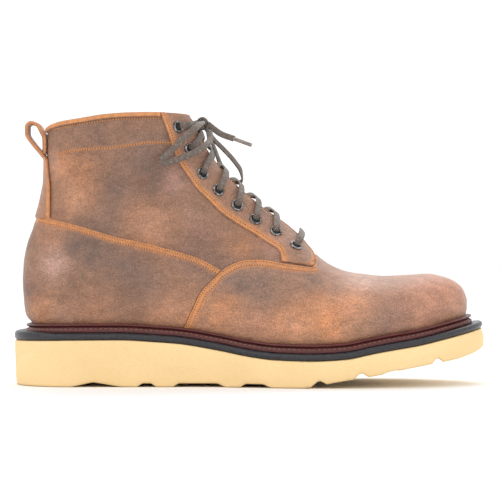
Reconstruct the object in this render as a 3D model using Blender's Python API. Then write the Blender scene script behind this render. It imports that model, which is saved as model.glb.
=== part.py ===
"""Wedge sole work boot, one right boot standing empty on its sole.

The toe points to +X, the outer side to -Y and the collar to +Z. The floor is z = 0 and the origin
lies under the middle of the outsole. Every length is in metres. One reference surface, worked out
from the plan of the sole, the back line, the ridge over the vamp and the width of the shaft,
carries the upper and everything that is sewn on it.
"""
import math

import bpy
import numpy as np

for leftover in list(bpy.data.objects):
    bpy.data.objects.remove(leftover)

# Outsole
sole_length = 0.305
ball_width = 0.112
waist_width = 0.076
heel_width = 0.080
heel_round = 0.040
toe_round = 0.075
heel_height = 0.0293
ball_height = 0.0170
toe_height = 0.0368
toe_spring = 0.0240
tread_depth = 0.0029
tread_step = 0.0008

# Midsole, welt and insole
midsole_thick = 0.0043
welt_thick = 0.0020
welt_ledge = 0.0060
welt_tuck = 0.0060
ridge_height = 0.0036
shelf_heel = 0.0071
shelf_side = 0.0046
shelf_toe = 0.0081
insole_thick = 0.0030

# Upper: heights above the deck of the heel
shaft_height = 0.1457
toe_box_height = 0.0419
shaft_width = 0.075
ankle_width = 0.068
upper_wall = 0.0020
overlay_thick = 0.0013
counter_thick = 0.0009
throat_gap_top = 0.020
throat_gap_end = 0.013
throat_round = 0.008
tongue_thick = 0.0022
tongue_width_top = 0.056
tongue_width_end = 0.040
collar_band_width = 0.0030
loop_width = 0.020
loop_thick = 0.0022
backstay_width_top = 0.023
backstay_width_base = 0.034

# Eyelets and laces
eyelet_width = 0.0076
eyelet_hole = 0.0047
eyelet_thick = 0.0010
lace_width = 0.0042
lace_thick = 0.0012
cord_thick = 0.0030
tip_thick = 0.0024

# Clearances
fit = 0.0003
curved_fit = 0.00045
overlay_fit = 0.0009
lace_fit = 0.0010
tongue_fit = 0.0012
insole_fit = 0.0010

half_length = sole_length / 2

def smooth_line(rows):
    """A smooth line value(place) through the rows (place, value), which never overshoots a row."""
    knots = np.array([row[0] for row in rows], float)
    values = np.array([row[1] for row in rows], float)
    run = np.diff(knots)
    rise = np.diff(values) / run
    slope = np.concatenate(([rise[0]], np.zeros(len(rise) - 1), [rise[-1]]))
    for k in range(1, len(rise)):
        if rise[k - 1] * rise[k] > 0:
            before = 2 * run[k] + run[k - 1]
            after = run[k] + 2 * run[k - 1]
            slope[k] = (before + after) / (before / rise[k - 1] + after / rise[k])

    def line(place):
        place = np.clip(place, knots[0], knots[-1])
        k = np.clip(np.searchsorted(knots, place, side="right") - 1, 0, len(run) - 1)
        t = (place - knots[k]) / run[k]
        start = values[k] * (1 + 2 * t) * (1 - t) ** 2 + run[k] * slope[k] * t * (1 - t) ** 2
        end = values[k + 1] * t * t * (3 - 2 * t) + run[k] * slope[k + 1] * t * t * (t - 1)
        return start + end

    return line


def smooth_path(points):
    """A smooth path point(t), t from 0 to 1 by length, through points of any dimension."""
    points = np.array(points, float)
    steps = np.linalg.norm(np.diff(points, axis=0), axis=1)
    places = np.concatenate(([0.0], np.cumsum(steps))) / steps.sum()
    lines = [smooth_line(list(zip(places, points[:, k]))) for k in range(points.shape[1])]
    return lambda t: np.stack([line(np.asarray(t, float)) for line in lines], axis=-1)


def ease(value, low, high):
    """0 below low, 1 above high, and a smooth step between them."""
    t = np.clip((value - low) / (high - low), 0.0, 1.0)
    return t * t * (3 - 2 * t)


def bulge(share, power):
    """The width of a rounded form, 1 at its middle (share 0) and 0 at its edge (share 1)."""
    return np.maximum(1 - np.clip(np.abs(share), 0, 1) ** power, 0.0) ** (1 / power)


# Side view of the outsole. Columns: share of the sole's length from the heel, height over the floor.
deck = smooth_line([
    (0.000, 0.980 * heel_height), (0.130, 1.010 * heel_height), (0.225, 1.015 * heel_height),
    (0.310, 0.970 * heel_height), (0.352, 0.935 * heel_height), (0.431, 0.800 * heel_height),
    (0.505, 1.130 * ball_height), (0.554, 1.030 * ball_height), (0.627, 1.000 * ball_height),
    (0.693, 1.060 * ball_height), (0.759, 0.595 * toe_height), (0.797, 0.650 * toe_height),
    (0.846, 0.715 * toe_height), (0.910, 0.830 * toe_height), (0.982, 0.965 * toe_height),
    (1.000, 1.000 * toe_height)])
spring = smooth_line([
    (0.000, 0.0), (0.603, 0.0), (0.630, 0.04 * toe_spring), (0.670, 0.14 * toe_spring),
    (0.710, 0.23 * toe_spring), (0.766, 0.34 * toe_spring), (0.823, 0.49 * toe_spring),
    (0.877, 0.61 * toe_spring), (0.933, 0.73 * toe_spring), (0.975, 0.88 * toe_spring),
    (1.000, 1.00 * toe_spring)])

# Tread grooves. Columns: start, start of the flat, end of the flat, end (shares of length), depth.
tread_grooves = [
    (0.128, 0.170, 0.178, 0.232, tread_depth),
    (0.264, 0.277, 0.294, 0.305, 0.8 * tread_depth),
    (0.339, 0.352, 0.433, 0.448, 0.8 * tread_depth),
    (0.480, 0.490, 0.527, 0.544, 0.8 * tread_depth),
    (0.625, 0.639, 0.645, 0.659, tread_depth),
    (0.714, 0.726, 0.732, 0.744, tread_depth),
    (0.774, 0.782, 0.802, 0.810, tread_step),
    (0.878, 0.887, 0.891, 0.902, tread_depth)]

# Plan of the outsole. Columns: share of length, half width, shift of the middle to the inner side.
plan_rows = [
    (0.00, 0.500 * heel_width, 0.000), (0.13, 0.505 * heel_width, 0.000),
    (0.27, 0.490 * heel_width, -0.006 * ball_width), (0.40, 0.500 * waist_width, -0.018 * ball_width),
    (0.53, 0.415 * ball_width, -0.018 * ball_width), (0.65, 0.492 * ball_width, 0.000),
    (0.72, 0.500 * ball_width, 0.012 * ball_width), (0.83, 0.490 * ball_width, 0.034 * ball_width),
    (1.00, 0.460 * ball_width, 0.055 * ball_width)]
plan_half = smooth_line([(row[0], row[1]) for row in plan_rows])
plan_middle = smooth_line([(row[0], row[2]) for row in plan_rows])
heel_fullness = 2.2
toe_fullness = 2.25

# The outer and inner sides, as seen from above: the outer side is -Y on a right boot.
outer, inner = -1.0, 1.0


def plan_point(turn, side):
    """A point of the outsole's plan. Turn runs from 0 at the heel to pi at the toe."""
    x = -half_length * np.cos(turn)
    from_heel = (x + half_length) / heel_round
    from_toe = (half_length - x) / toe_round
    round_off = bulge(1 - np.minimum(from_heel, 1), heel_fullness)
    round_off = round_off * bulge(1 - np.minimum(from_toe, 1), toe_fullness)
    along = (x + half_length) / sole_length
    y = plan_middle(along) + side * plan_half(along) * round_off
    return np.stack([x, y], axis=-1)


all_turns = np.linspace(0, math.pi, 721)
plan_low = plan_point(all_turns, outer)[:, 1].min()
plan_high = plan_point(all_turns, inner)[:, 1].max()
plan_shift = -(plan_low + plan_high) / 2


def inset_plan(turn, side, inset):
    """The plan's outline moved inwards, square to itself, by inset."""
    step = 1e-4
    ahead = plan_point(np.minimum(turn + step, math.pi), side)
    behind = plan_point(np.maximum(turn - step, 0.0), side)
    way = ahead - behind
    way = way / np.linalg.norm(way, axis=-1, keepdims=True)
    outward = np.stack([-way[..., 1] * side, way[..., 0] * side], axis=-1)
    ends = (turn < step) | (turn > math.pi - step)
    endwise = np.stack([np.where(turn < 1, -1.0, 1.0), np.zeros_like(turn)], axis=-1)
    outward = np.where(ends[..., None], endwise, outward)
    point = plan_point(turn, side) - outward * np.asarray(inset)[..., None]
    point[..., 1] = point[..., 1] + plan_shift
    return point


def share(x):
    """The share of the sole's length at x."""
    return (x + half_length) / sole_length


def turn_at(along):
    """The turn of the plan at a share of the sole's length."""
    return np.arccos(np.clip(1 - 2 * np.asarray(along, float), -1, 1))


def tread(along):
    """The height of the tread's underside: the toe spring with its grooves cut in."""
    depth = np.zeros_like(along)
    for start, flat_start, flat_end, end, deep in tread_grooves:
        up = np.clip((along - start) / (flat_start - start), 0, 1)
        down = np.clip((end - along) / (end - flat_end), 0, 1)
        depth = np.maximum(depth, deep * np.minimum(up, down))
    return spring(along) + depth


def feather_inset(along):
    """How far the upper's foot lies inside the outsole's plan."""
    shelf = smooth_line([(0.0, shelf_heel), (0.2, shelf_side), (0.8, shelf_side), (1.0, shelf_toe)])
    return shelf(along) + welt_ledge


# Heights of the stack over the deck
midsole_base = fit
midsole_top = midsole_base + midsole_thick
welt_base = midsole_top + fit
welt_top = welt_base + welt_thick
ridge_top = welt_top + ridge_height
upper_foot = welt_top + fit

feather_turns = np.linspace(0, math.pi, 361)
feather_outer = inset_plan(feather_turns, outer, feather_inset(share(plan_point(feather_turns, outer)[:, 0])))
feather_inner = inset_plan(feather_turns, inner, feather_inset(share(plan_point(feather_turns, inner)[:, 0])))
feather_heel = feather_outer[0, 0]
feather_toe = feather_outer[-1, 0]
feather_length = feather_toe - feather_heel


def feather(x):
    """The middle and half width of the upper's foot at x, in plan."""
    low = np.interp(x, feather_outer[:, 0], feather_outer[:, 1])
    high = np.interp(x, feather_inner[:, 0], feather_inner[:, 1])
    return (low + high) / 2, (high - low) / 2


def upper_height(rise):
    """A height given as a share of the shaft's height over the heel's deck."""
    return heel_height + rise * shaft_height


# Back line of the upper. Columns: share of the shaft's height, x as a share of the half length.
back_rows = [
    (0.045, -0.9140), (0.079, -0.9357), (0.099, -0.9528), (0.135, -0.9613), (0.183, -0.9652),
    (0.259, -0.9698), (0.348, -0.9652), (0.417, -0.9528), (0.492, -0.9272), (0.561, -0.9049),
    (0.629, -0.8885), (0.705, -0.8761), (0.897, -0.8721), (1.050, -0.8690)]
back_line = smooth_line([(upper_height(rise), x * half_length) for rise, x in back_rows])

# Ridge of the upper from the toe up to the collar. Columns: x as a share of the half length,
# height as a share of the toe box or of the shaft, and which of the two.
ridge_rows = [
    (0.9272, 0.580, toe_box_height), (0.9180, 0.695, toe_box_height), (0.9049, 0.785, toe_box_height),
    (0.8787, 0.870, toe_box_height), (0.8262, 0.952, toe_box_height), (0.7541, 1.000, toe_box_height),
    (0.6754, 0.980, toe_box_height), (0.5770, 0.965, toe_box_height), (0.4721, 1.000, toe_box_height),
    (0.4197, 0.296, shaft_height), (0.3672, 0.315, shaft_height), (0.3148, 0.345, shaft_height),
    (0.2623, 0.397, shaft_height), (0.1967, 0.480, shaft_height), (0.1311, 0.531, shaft_height),
    (0.0590, 0.590, shaft_height), (-0.0197, 0.658, shaft_height), (-0.0852, 0.723, shaft_height),
    (-0.1443, 0.789, shaft_height), (-0.1836, 0.861, shaft_height), (-0.2230, 0.933, shaft_height),
    (-0.2525, 1.008, shaft_height), (-0.2754, 1.089, shaft_height)]
ridge_points = [(x * half_length, heel_height + rise * of) for x, rise, of in ridge_rows]
ridge_line = smooth_line(ridge_points[::-1])
front_points = ridge_points[11:]
front_line = smooth_line([(height, x) for x, height in front_points])
toe_end_x = ridge_points[0][0]
toe_end_z = ridge_points[0][1]
toe_flare = 0.0086

# Shaft. Columns: share of the shaft's height, half width, widest place as a share of the depth.
shaft_rows = [
    (0.20, 0.470 * ankle_width, 0.34), (0.45, 0.500 * ankle_width, 0.36),
    (0.62, 0.495 * ankle_width, 0.42), (0.80, 0.480 * shaft_width, 0.48),
    (1.05, 0.500 * shaft_width, 0.50)]
shaft_half = smooth_line([(upper_height(row[0]), row[1]) for row in shaft_rows])
shaft_widest = smooth_line([(upper_height(row[0]), row[2]) for row in shaft_rows])
shaft_fullness = 2.2

# Swell of the upper above its foot. Columns: height over the foot as a share of the toe box, swell.
swell = smooth_line([
    (0.0, 0.0), (0.08 * toe_box_height, 0.0024), (0.18 * toe_box_height, 0.0041),
    (0.32 * toe_box_height, 0.0052), (0.60 * toe_box_height, 0.0050), (1.2 * toe_box_height, 0.0036)])
vamp_fullness = smooth_line([(-0.3, 2.1), (0.3, 2.15), (0.6, 2.3), (0.93, 2.35)])
shoulder_share = 0.28


def foot_height(x):
    """The height of the upper's foot at x."""
    return deck(share(x)) + upper_foot


def toe_line(z):
    """The upper's front end at height z, below the ridge."""
    rise = np.clip((z - foot_height(feather_toe)) / toe_flare, 0, 1)
    return feather_toe + (toe_end_x - feather_toe) * (1 - (1 - rise) ** 2)


def half_width(x, z):
    """Half the width of the reference surface at a place of its side view."""
    heel_x = back_line(z)
    place = (x - heel_x) / (toe_line(z) - heel_x)
    plan = feather(feather_heel + place * feather_length)[1]
    foot = foot_height(np.clip(x, feather_heel, feather_toe))
    crown = ridge_line(x)
    shoulder = foot + shoulder_share * (crown - foot)
    fall = np.clip((z - shoulder) / np.maximum(crown - shoulder, 1e-6), 0, 1)
    power = vamp_fullness(x / half_length)
    vault = np.maximum(1 - fall ** power, 0) ** (1 / power)
    foot_part = plan * (1 + swell(z - foot) / (0.43 * ball_width)) * vault
    front_x = np.where(z > front_points[0][1], front_line(z), front_points[0][0] + front_points[0][1] - z)
    depth = front_x - heel_x
    widest = heel_x + shaft_widest(z) * depth
    behind = (widest - x) / (shaft_widest(z) * depth)
    before = (x - widest) / ((1 - shaft_widest(z)) * depth)
    shaft_part = shaft_half(z) * bulge(np.clip(np.maximum(behind, before), 0, 1), shaft_fullness)
    blend_start = heel_height + shaft_height * (0.18 + 0.20 * ease(x / half_length, -0.66, 0.33))
    blend = ease(z, blend_start, blend_start + 0.34 * shaft_height)
    return (1 - blend) * foot_part + blend * shaft_part


def middle(x, z):
    """The middle of the reference surface in Y: it follows the plan at the foot, and 0 in the shaft."""
    plan = feather(np.clip(x, feather_heel + 0.002, feather_toe - 0.002))[0]
    return plan * (1 - ease(z, upper_height(0.15), upper_height(0.65)))


def on_upper(x, z, side, lift, seam=None):
    """Points of the reference surface at side view places, moved outwards by lift.

    Where seam is true the point lies on the middle line, where the two sides meet.
    """
    x = np.asarray(x, float)
    z = np.asarray(z, float)
    width = half_width(x, z)
    if seam is not None:
        width = np.where(seam, 0.0, width)
    step = 0.0006
    slope_x = (half_width(x + step, z) ** 2 - half_width(x - step, z) ** 2) / (2 * step)
    slope_z = (half_width(x, z + step) ** 2 - half_width(x, z - step) ** 2) / (2 * step)
    lean_x = (middle(x + step, z) - middle(x - step, z)) / (2 * step)
    lean_z = (middle(x, z + step) - middle(x, z - step)) / (2 * step)
    across = 2 * side * width
    normal = np.stack([-slope_x - across * lean_x, across, -slope_z - across * lean_z], axis=-1)
    normal = normal / np.maximum(np.linalg.norm(normal, axis=-1, keepdims=True), 1e-12)
    point = np.stack([x, middle(x, z) + side * width, z], axis=-1)
    return point + normal * np.asarray(lift)[..., None]


def inward(path, t):
    """The direction in the side view that points into the boot, square to the ridge path."""
    step = 1e-3
    way = path(np.minimum(t + step, 1)) - path(np.maximum(t - step, 0))
    way = way / np.linalg.norm(way, axis=-1, keepdims=True)
    return np.stack([way[..., 1], -way[..., 0]], axis=-1) * -1.0


# The ridge as a path from the end of the throat up to the collar
throat_path = smooth_path([point for point in ridge_points if point[0] < 0.46 * half_length])


def below_ridge(t, width):
    """The side view place beside the ridge where the surface has this half width."""
    t = np.asarray(t, float)
    start = throat_path(t)
    way = inward(throat_path, t)
    low = np.zeros_like(t)
    high = np.full_like(t, 0.03)
    for _ in range(40):
        half = (low + high) / 2
        place = start + way * half[..., None]
        narrow = half_width(place[..., 0], place[..., 1]) < width
        low = np.where(narrow, half, low)
        high = np.where(narrow, high, half)
    return start + way * ((low + high) / 2)[..., None]


def throat_t(x):
    """The place on the throat path whose x is given."""
    places = np.linspace(0, 1, 400)
    return float(np.interp(-x, -throat_path(places)[:, 0], places))


throat_end_x = 0.2770 * half_length
throat_end_t = throat_t(throat_end_x)
throat_top_t = throat_t(-0.2480 * half_length)


def throat_edge(t):
    """The edge of the throat in the side view, t from 0 at its lower end to 1 at the collar."""
    along = throat_end_t + (throat_top_t - throat_end_t) * np.asarray(t, float)
    start = throat_path(along)
    from_end = np.linalg.norm(start - throat_path(np.asarray(throat_end_t)), axis=-1)
    half_gap = (throat_gap_end + (throat_gap_top - throat_gap_end) * np.asarray(t, float)) / 2
    half_gap = half_gap * bulge(1 - np.minimum(from_end / throat_round, 1), 2.0)
    return below_ridge(along, half_gap)


# Top line of the collar. Columns: x as a share of the half length, share of the shaft's height.
collar_rows = [
    (-0.8660, 0.936), (-0.8450, 0.9475), (-0.8066, 0.9580), (-0.7080, 0.9720), (-0.6030, 0.9880),
    (-0.4984, 0.9960), (-0.4000, 0.9990), (-0.2980, 1.0000), (-0.2560, 1.0000)]
collar_path = smooth_path([(x * half_length, upper_height(rise)) for x, rise in collar_rows])


def spread(t):
    """Places from 0 to 1 that lie closer together at both ends."""
    return (1 - np.cos(math.pi * np.asarray(t, float))) / 2


def spread_start(t):
    """Places from 0 to 1 that lie closer together at the start."""
    return 1 - np.cos(math.pi / 2 * np.asarray(t, float))


def spread_end(count):
    """Count steps from 0 to 1 that grow shorter towards the end."""
    return np.sin(math.pi / 2 * np.linspace(0, 1, count + 1))


def spread_from(count, pull):
    """Count steps from 0 to 1, even but for a share pull of steps that shorten towards the end."""
    return (1 - pull) * np.linspace(0, 1, count + 1) + pull * spread_end(count)


def feather_edge(x_start, x_end):
    """The upper's foot between two places, as a side view edge."""
    def edge(t):
        x = x_start + (x_end - x_start) * np.asarray(t, float)
        return np.stack([x, foot_height(x)], axis=-1)
    return edge


vamp_corner_x = 0.880 * half_length
toe_rise = np.linspace(0, 1, 9)
toe_foot_z = float(foot_height(feather_toe))
toe_low = [(float(toe_line(z)), float(z)) for z in toe_foot_z + (toe_end_z - toe_foot_z) * toe_rise]
toe_high = [point for point in ridge_points[1:] if point[0] > vamp_corner_x + 0.002]
toe_edge = smooth_path(toe_low + toe_high + [(vamp_corner_x, float(ridge_line(vamp_corner_x)))])


def back_edge(z_start, z_end):
    """The back line between two heights, as a side view edge."""
    def edge(t):
        z = z_start + (z_end - z_start) * np.asarray(t, float)
        return np.stack([back_line(z), z], axis=-1)
    return edge


def ridge_edge(x_start, x_end):
    """The ridge between two places, as a side view edge."""
    def edge(t):
        x = x_start + (x_end - x_start) * np.asarray(t, float)
        return np.stack([x, ridge_line(x)], axis=-1)
    return edge


def fill(bottom, left, top, right, columns, rows):
    """Side view places on a grid whose four borders are given (a Coons patch).

    Each border is (edge, places) where places are its own parameters at the grid lines.
    """
    low = bottom[0](bottom[1])[:, None, :]
    high = top[0](top[1])[:, None, :]
    back = left[0](left[1])[None, :, :]
    front = right[0](right[1])[None, :, :]
    u = np.linspace(0, 1, columns + 1)[:, None, None]
    v = np.linspace(0, 1, rows + 1)[None, :, None]
    u = 0.5 * u + 0.5 * np.broadcast_to(bottom[1][:, None, None], u.shape)
    v = np.broadcast_to(left[1][None, :, None], v.shape)
    corners = ((1 - u) * (1 - v) * low[:1] + u * (1 - v) * low[-1:]
               + (1 - u) * v * high[:1] + u * v * high[-1:])
    return (1 - v) * low + v * high + (1 - u) * back + u * front - corners


def material(name, colour, roughness, metallic=0.0):
    """A plain surface in the piece's own colour."""
    finish = bpy.data.materials.new(name)
    finish.use_nodes = True
    shader = finish.node_tree.nodes["Principled BSDF"]
    shader.inputs["Base Color"].default_value = (*colour, 1.0)
    shader.inputs["Roughness"].default_value = roughness
    shader.inputs["Metallic"].default_value = metallic
    return finish


def add_piece(name, points, faces, finish):
    """One named object from points and faces."""
    mesh = bpy.data.meshes.new(name)
    mesh.from_pydata([tuple(map(float, point)) for point in points], [], faces)
    mesh.validate()
    piece = bpy.data.objects.new(name, mesh)
    bpy.context.collection.objects.link(piece)
    mesh.materials.append(finish)
    mesh.shade_smooth()
    mesh.set_sharp_from_angle(angle=math.radians(40))
    return piece


def split(ring, points, joined):
    """Two triangles from a ring of four, cut along its shorter diagonal.

    The cut starts from the one corner that isn't joined, where the other three lie on a seam.
    """
    a, b, c, d = ring
    shorter = np.linalg.norm(points[a] - points[c]) <= np.linalg.norm(points[b] - points[d])
    free = [k for k, v in enumerate(ring) if v not in joined]
    if len(free) == 1:
        shorter = free[0] in (0, 2)
    return [[a, b, c], [a, c, d]] if shorter else [[a, b, d], [b, c, d]]


def shell(name, patches, seam, finish):
    """A closed solid from patches (outside grid, inside grid, side), joined where seam is true."""
    outside, inside, faces = [], [], []
    first = None
    for outside_grid, inside_grid, side in patches:
        columns, rows = outside_grid.shape[0] - 1, outside_grid.shape[1] - 1
        ids = np.zeros((columns + 1, rows + 1), int)
        for i in range(columns + 1):
            for j in range(rows + 1):
                if first is not None and seam[i, j]:
                    ids[i, j] = first[i, j]
                    continue
                ids[i, j] = len(outside)
                outside.append(outside_grid[i, j])
                inside.append(inside_grid[i, j])
        first = ids
        joined = set() if seam is None else set(ids[seam].tolist())
        for i in range(columns):
            for j in range(rows):
                ring = [int(v) for v in (ids[i, j], ids[i + 1, j], ids[i + 1, j + 1], ids[i, j + 1])]
                if side > 0:
                    ring.reverse()
                faces += split(ring, outside, joined)
    count = len(outside)
    once = {}
    for face in faces:
        for k, start in enumerate(face):
            end = face[(k + 1) % len(face)]
            if (end, start) in once:
                del once[(end, start)]
            else:
                once[(start, end)] = True
    walls = [[end, start, start + count, end + count] for start, end in once]
    backs = [[v + count for v in reversed(face)] for face in faces]
    return add_piece(name, outside + inside, faces + walls + backs, finish)


def rings(name, layers, finish):
    """A closed solid from layers, top first. Each layer is (outer side points, inner side points)."""
    count = len(layers[0][0])
    points = []
    for low, high in layers:
        points += list(low) + list(high)[1:-1][::-1]
    around = 2 * count - 2
    faces = []
    for k in range(len(layers) - 1):
        for i in range(around):
            following = (i + 1) % around
            faces.append([k * around + i, (k + 1) * around + i, (k + 1) * around + following,
                          k * around + following])
    bottom = (len(layers) - 1) * around
    for i in range(count - 1):
        far, far_next = (around - i) % around, around - i - 1
        top_ring = [i, i + 1, far_next, far] if far_next != i + 1 else [i, i + 1, far]
        if far == i:
            top_ring = [i, i + 1, far_next]
        faces.append(top_ring)
        faces.append([bottom + v for v in reversed(top_ring)])
    return add_piece(name, points, faces, finish)


def layer(turns, inset, height):
    """One ring of a sole sheet: the plan moved in by inset, at heights that follow its length."""
    low = inset_plan(turns, outer, inset)
    high = inset_plan(turns, inner, inset)
    low = np.column_stack([low, height(np.clip(share(low[:, 0]), 0, 1))])
    high = np.column_stack([high, height(np.clip(share(high[:, 0]), 0, 1))])
    return low, high


def build_outsole():
    """The cream wedge outsole: true plan, arch, toe spring and tread."""
    breaks = {round(place, 6) for groove in tread_grooves for place in groove[:4]}
    ends = [0.0, 0.003, 0.012, 0.03, 0.055, 0.085, 0.93, 0.955, 0.975, 0.989, 0.997, 1.0]
    fill_in = [0.2, 0.39, 0.58, 0.603, 0.63, 0.69, 0.84]
    stations = np.array(sorted(breaks | set(ends) | set(fill_in)))
    turns = turn_at(stations)
    # Columns: height line, offset from it, inset at the heel, inset at the toe
    profile = [
        (deck, 0.0, 0.0010, 0.0025), (deck, -0.0010, 0.0002, 0.0017), (spring, 0.0055, 0.0008, 0.0000),
        (tread, 0.0016, 0.0014, 0.0008), (tread, 0.0000, 0.0030, 0.0026)]
    layers = []
    for line, offset, heel_in, toe_in in profile:
        inset = heel_in + (toe_in - heel_in) * stations
        layers.append(layer(turns, inset, lambda along, line=line, offset=offset: line(along) + offset))
    return rings("outsole", layers, material("cream_rubber", (0.93, 0.72, 0.38), 0.75))


sheet_turns = np.linspace(0, math.pi, 31)


def build_midsole():
    """The dark midsole sheet, with a rounded edge."""
    turns = sheet_turns
    # Columns: height over the deck, inset at the heel, inset at the toe
    profile = [
        (midsole_top, 0.0010, 0.0024), (midsole_top - 0.0010, 0.0001, 0.0015),
        (midsole_base + 0.0010, 0.0001, 0.0015), (midsole_base, 0.0010, 0.0024)]
    layers = []
    for offset, heel_in, toe_in in profile:
        inset = heel_in + (toe_in - heel_in) * share(plan_point(turns, outer)[:, 0])
        layers.append(layer(turns, inset, lambda along, offset=offset: deck(along) + offset))
    return rings("midsole", layers, material("dark_rubber", (0.055, 0.055, 0.065), 0.5))


def feather_station(turns, side, height, lift):
    """Points of the reference surface above the foot, at the places where the turns meet the foot."""
    foot = inset_plan(turns, side, feather_inset(share(plan_point(turns, side)[:, 0])))
    place = (foot[:, 0] - feather_heel) / feather_length
    z = deck(share(foot[:, 0])) + height
    x = back_line(z) + place * (toe_line(z) - back_line(z))
    seam = (turns < 1e-6) | (turns > math.pi - 1e-6)
    return on_upper(x, z, side, np.full_like(x, lift), seam)


def build_welt():
    """The storm welt: a flat ledge with a groove, and a ridge that stands against the upper."""
    turns = sheet_turns
    # Columns: distance out from the upper's foot, height over the deck
    outside = [
        (-welt_tuck, welt_base), (welt_ledge, welt_base), (welt_ledge, welt_top),
        (0.70 * welt_ledge, welt_top), (0.66 * welt_ledge, welt_top + 0.36 * ridge_height),
        (0.94 * welt_ledge, welt_top + 0.60 * ridge_height), (0.80 * welt_ledge, ridge_top)]
    against = [ridge_top - 0.0002, welt_top + 0.5 * ridge_height, welt_top]
    loops = []
    for side in (outer, inner):
        base = feather_inset(share(plan_point(turns, side)[:, 0]))
        section = []
        for out, height in outside:
            place = inset_plan(turns, side, base - out)
            section.append(np.column_stack([place, deck(share(place[:, 0])) + height]))
        for height in against:
            section.append(feather_station(turns, side, height, curved_fit))
        place = inset_plan(turns, side, base + welt_tuck)
        section.append(np.column_stack([place, deck(share(place[:, 0])) + welt_top]))
        loops.append(np.array(section))
    ring = np.concatenate([loops[0], loops[1][:, 1:-1][:, ::-1]], axis=1)
    corners, around = ring.shape[0], ring.shape[1]
    faces = []
    for k in range(corners):
        for i in range(around):
            step, following = (k + 1) % corners, (i + 1) % around
            faces.append([k * around + i, k * around + following, step * around + following,
                          step * around + i])
    return add_piece("welt", ring.reshape(-1, 3), faces, material("oxblood_leather", (0.07, 0.012, 0.012), 0.4))


def build_insole():
    """The footbed, resting on the welt's inner flange, with its filler below."""
    turns = sheet_turns
    base = feather_inset(share(plan_point(turns, outer)[:, 0]))
    wall = upper_wall + overlay_thick + overlay_fit + insole_fit
    flange = welt_tuck + 2 * fit
    # Columns: inset from the upper's foot, height over the deck
    profile = [
        (wall + 0.0008, upper_foot + insole_thick), (wall, upper_foot + insole_thick - 0.0008),
        (wall, upper_foot), (flange, upper_foot), (flange, midsole_top + fit)]
    layers = []
    for inset, height in profile:
        layers.append(layer(turns, base + inset, lambda along, height=height: deck(along) + height))
    return rings("insole", layers, material("footbed", (0.35, 0.22, 0.12), 0.8))


def both_sides(places, outside_lift, inside_lift, seam):
    """The outer and inner side patches of one side view grid."""
    patches = []
    for side in (outer, inner):
        x, z = places[..., 0], places[..., 1]
        patches.append((on_upper(x, z, side, np.broadcast_to(outside_lift, x.shape), seam),
                        on_upper(x, z, side, np.broadcast_to(inside_lift, x.shape), seam), side))
    return patches


def seams(columns, rows, left=False, right=False, top_from=None):
    """Which grid points lie on the middle line."""
    seam = np.zeros((columns + 1, rows + 1), bool)
    if left:
        seam[0, :] = True
    if right:
        seam[-1, :] = True
    if top_from is not None:
        seam[top_from:, -1] = True
    return seam


upper_outside = -(overlay_thick + overlay_fit)
upper_inside = upper_outside - upper_wall


def build_upper():
    """The hollow upper: quarters and lining as one wall, open at collar, throat and foot."""
    columns, rows = 31, 12
    collar_columns, throat_columns = 9, 9

    def top_edge(places):
        collar_part = collar_path(spread_start(np.linspace(0, 1, collar_columns + 1)))
        throat_part = throat_edge(1 - np.linspace(0, 1, throat_columns + 1) ** 0.9)[1:]
        left_over = columns - collar_columns - throat_columns
        ridge_part = ridge_edge(throat_end_x, vamp_corner_x)(spread_end(left_over))[1:]
        throat_part[-1] = ridge_edge(throat_end_x, vamp_corner_x)(0.0)
        collar_part[-1] = throat_edge(1.0)
        collar_part[-1, 1] = collar_path(1.0)[1]
        return np.concatenate([collar_part, throat_part, ridge_part])

    across = spread(np.linspace(0, 1, columns + 1))
    up = spread(np.linspace(0, 1, rows + 1))
    bottom = (feather_edge(feather_heel, feather_toe), across)
    left = (back_edge(float(foot_height(feather_heel)), float(collar_path(0.0)[1])), up)
    places = fill(bottom, left, (top_edge, across), (toe_edge, up), columns, rows)
    seam = seams(columns, rows, True, True, collar_columns + throat_columns)
    patches = both_sides(places, upper_outside, upper_inside, seam)
    return shell("upper", patches, seam, material("tan_leather", (0.30, 0.15, 0.08), 0.7))


def build_tongue():
    """The tongue: a leaf that follows the inside of the throat and runs under the vamp."""
    along = np.linspace(throat_t(0.40 * half_length), throat_t(-0.2465 * half_length), 12)
    across = np.linspace(-1, 1, 9)
    up_share = (along - along[0]) / (along[-1] - along[0])
    half = (tongue_width_end + (tongue_width_top - tongue_width_end) * up_share) / 2
    half = half * (1 - 0.25 * ease(up_share, 0.93, 1.0) - 0.3 * ease(-up_share, -0.12, 0.0))
    lifts = (upper_inside - tongue_fit, upper_inside - tongue_fit - tongue_thick)
    grids = []
    for lift in lifts:
        grid = np.zeros((len(across), len(along), 3))
        for k, place in enumerate(across):
            side = outer if place < 0 else inner
            width = np.maximum(np.abs(place) * half, 1e-5)
            spots = below_ridge(along, width)
            grid[k] = on_upper(spots[:, 0], spots[:, 1], side, np.full(len(along), lift),
                               np.full(len(along), abs(place) < 1e-9))
        grids.append(grid)
    return shell("tongue", [(grids[0], grids[1], outer)], None, material("tongue_leather", (0.26, 0.13, 0.07), 0.7))



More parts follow.
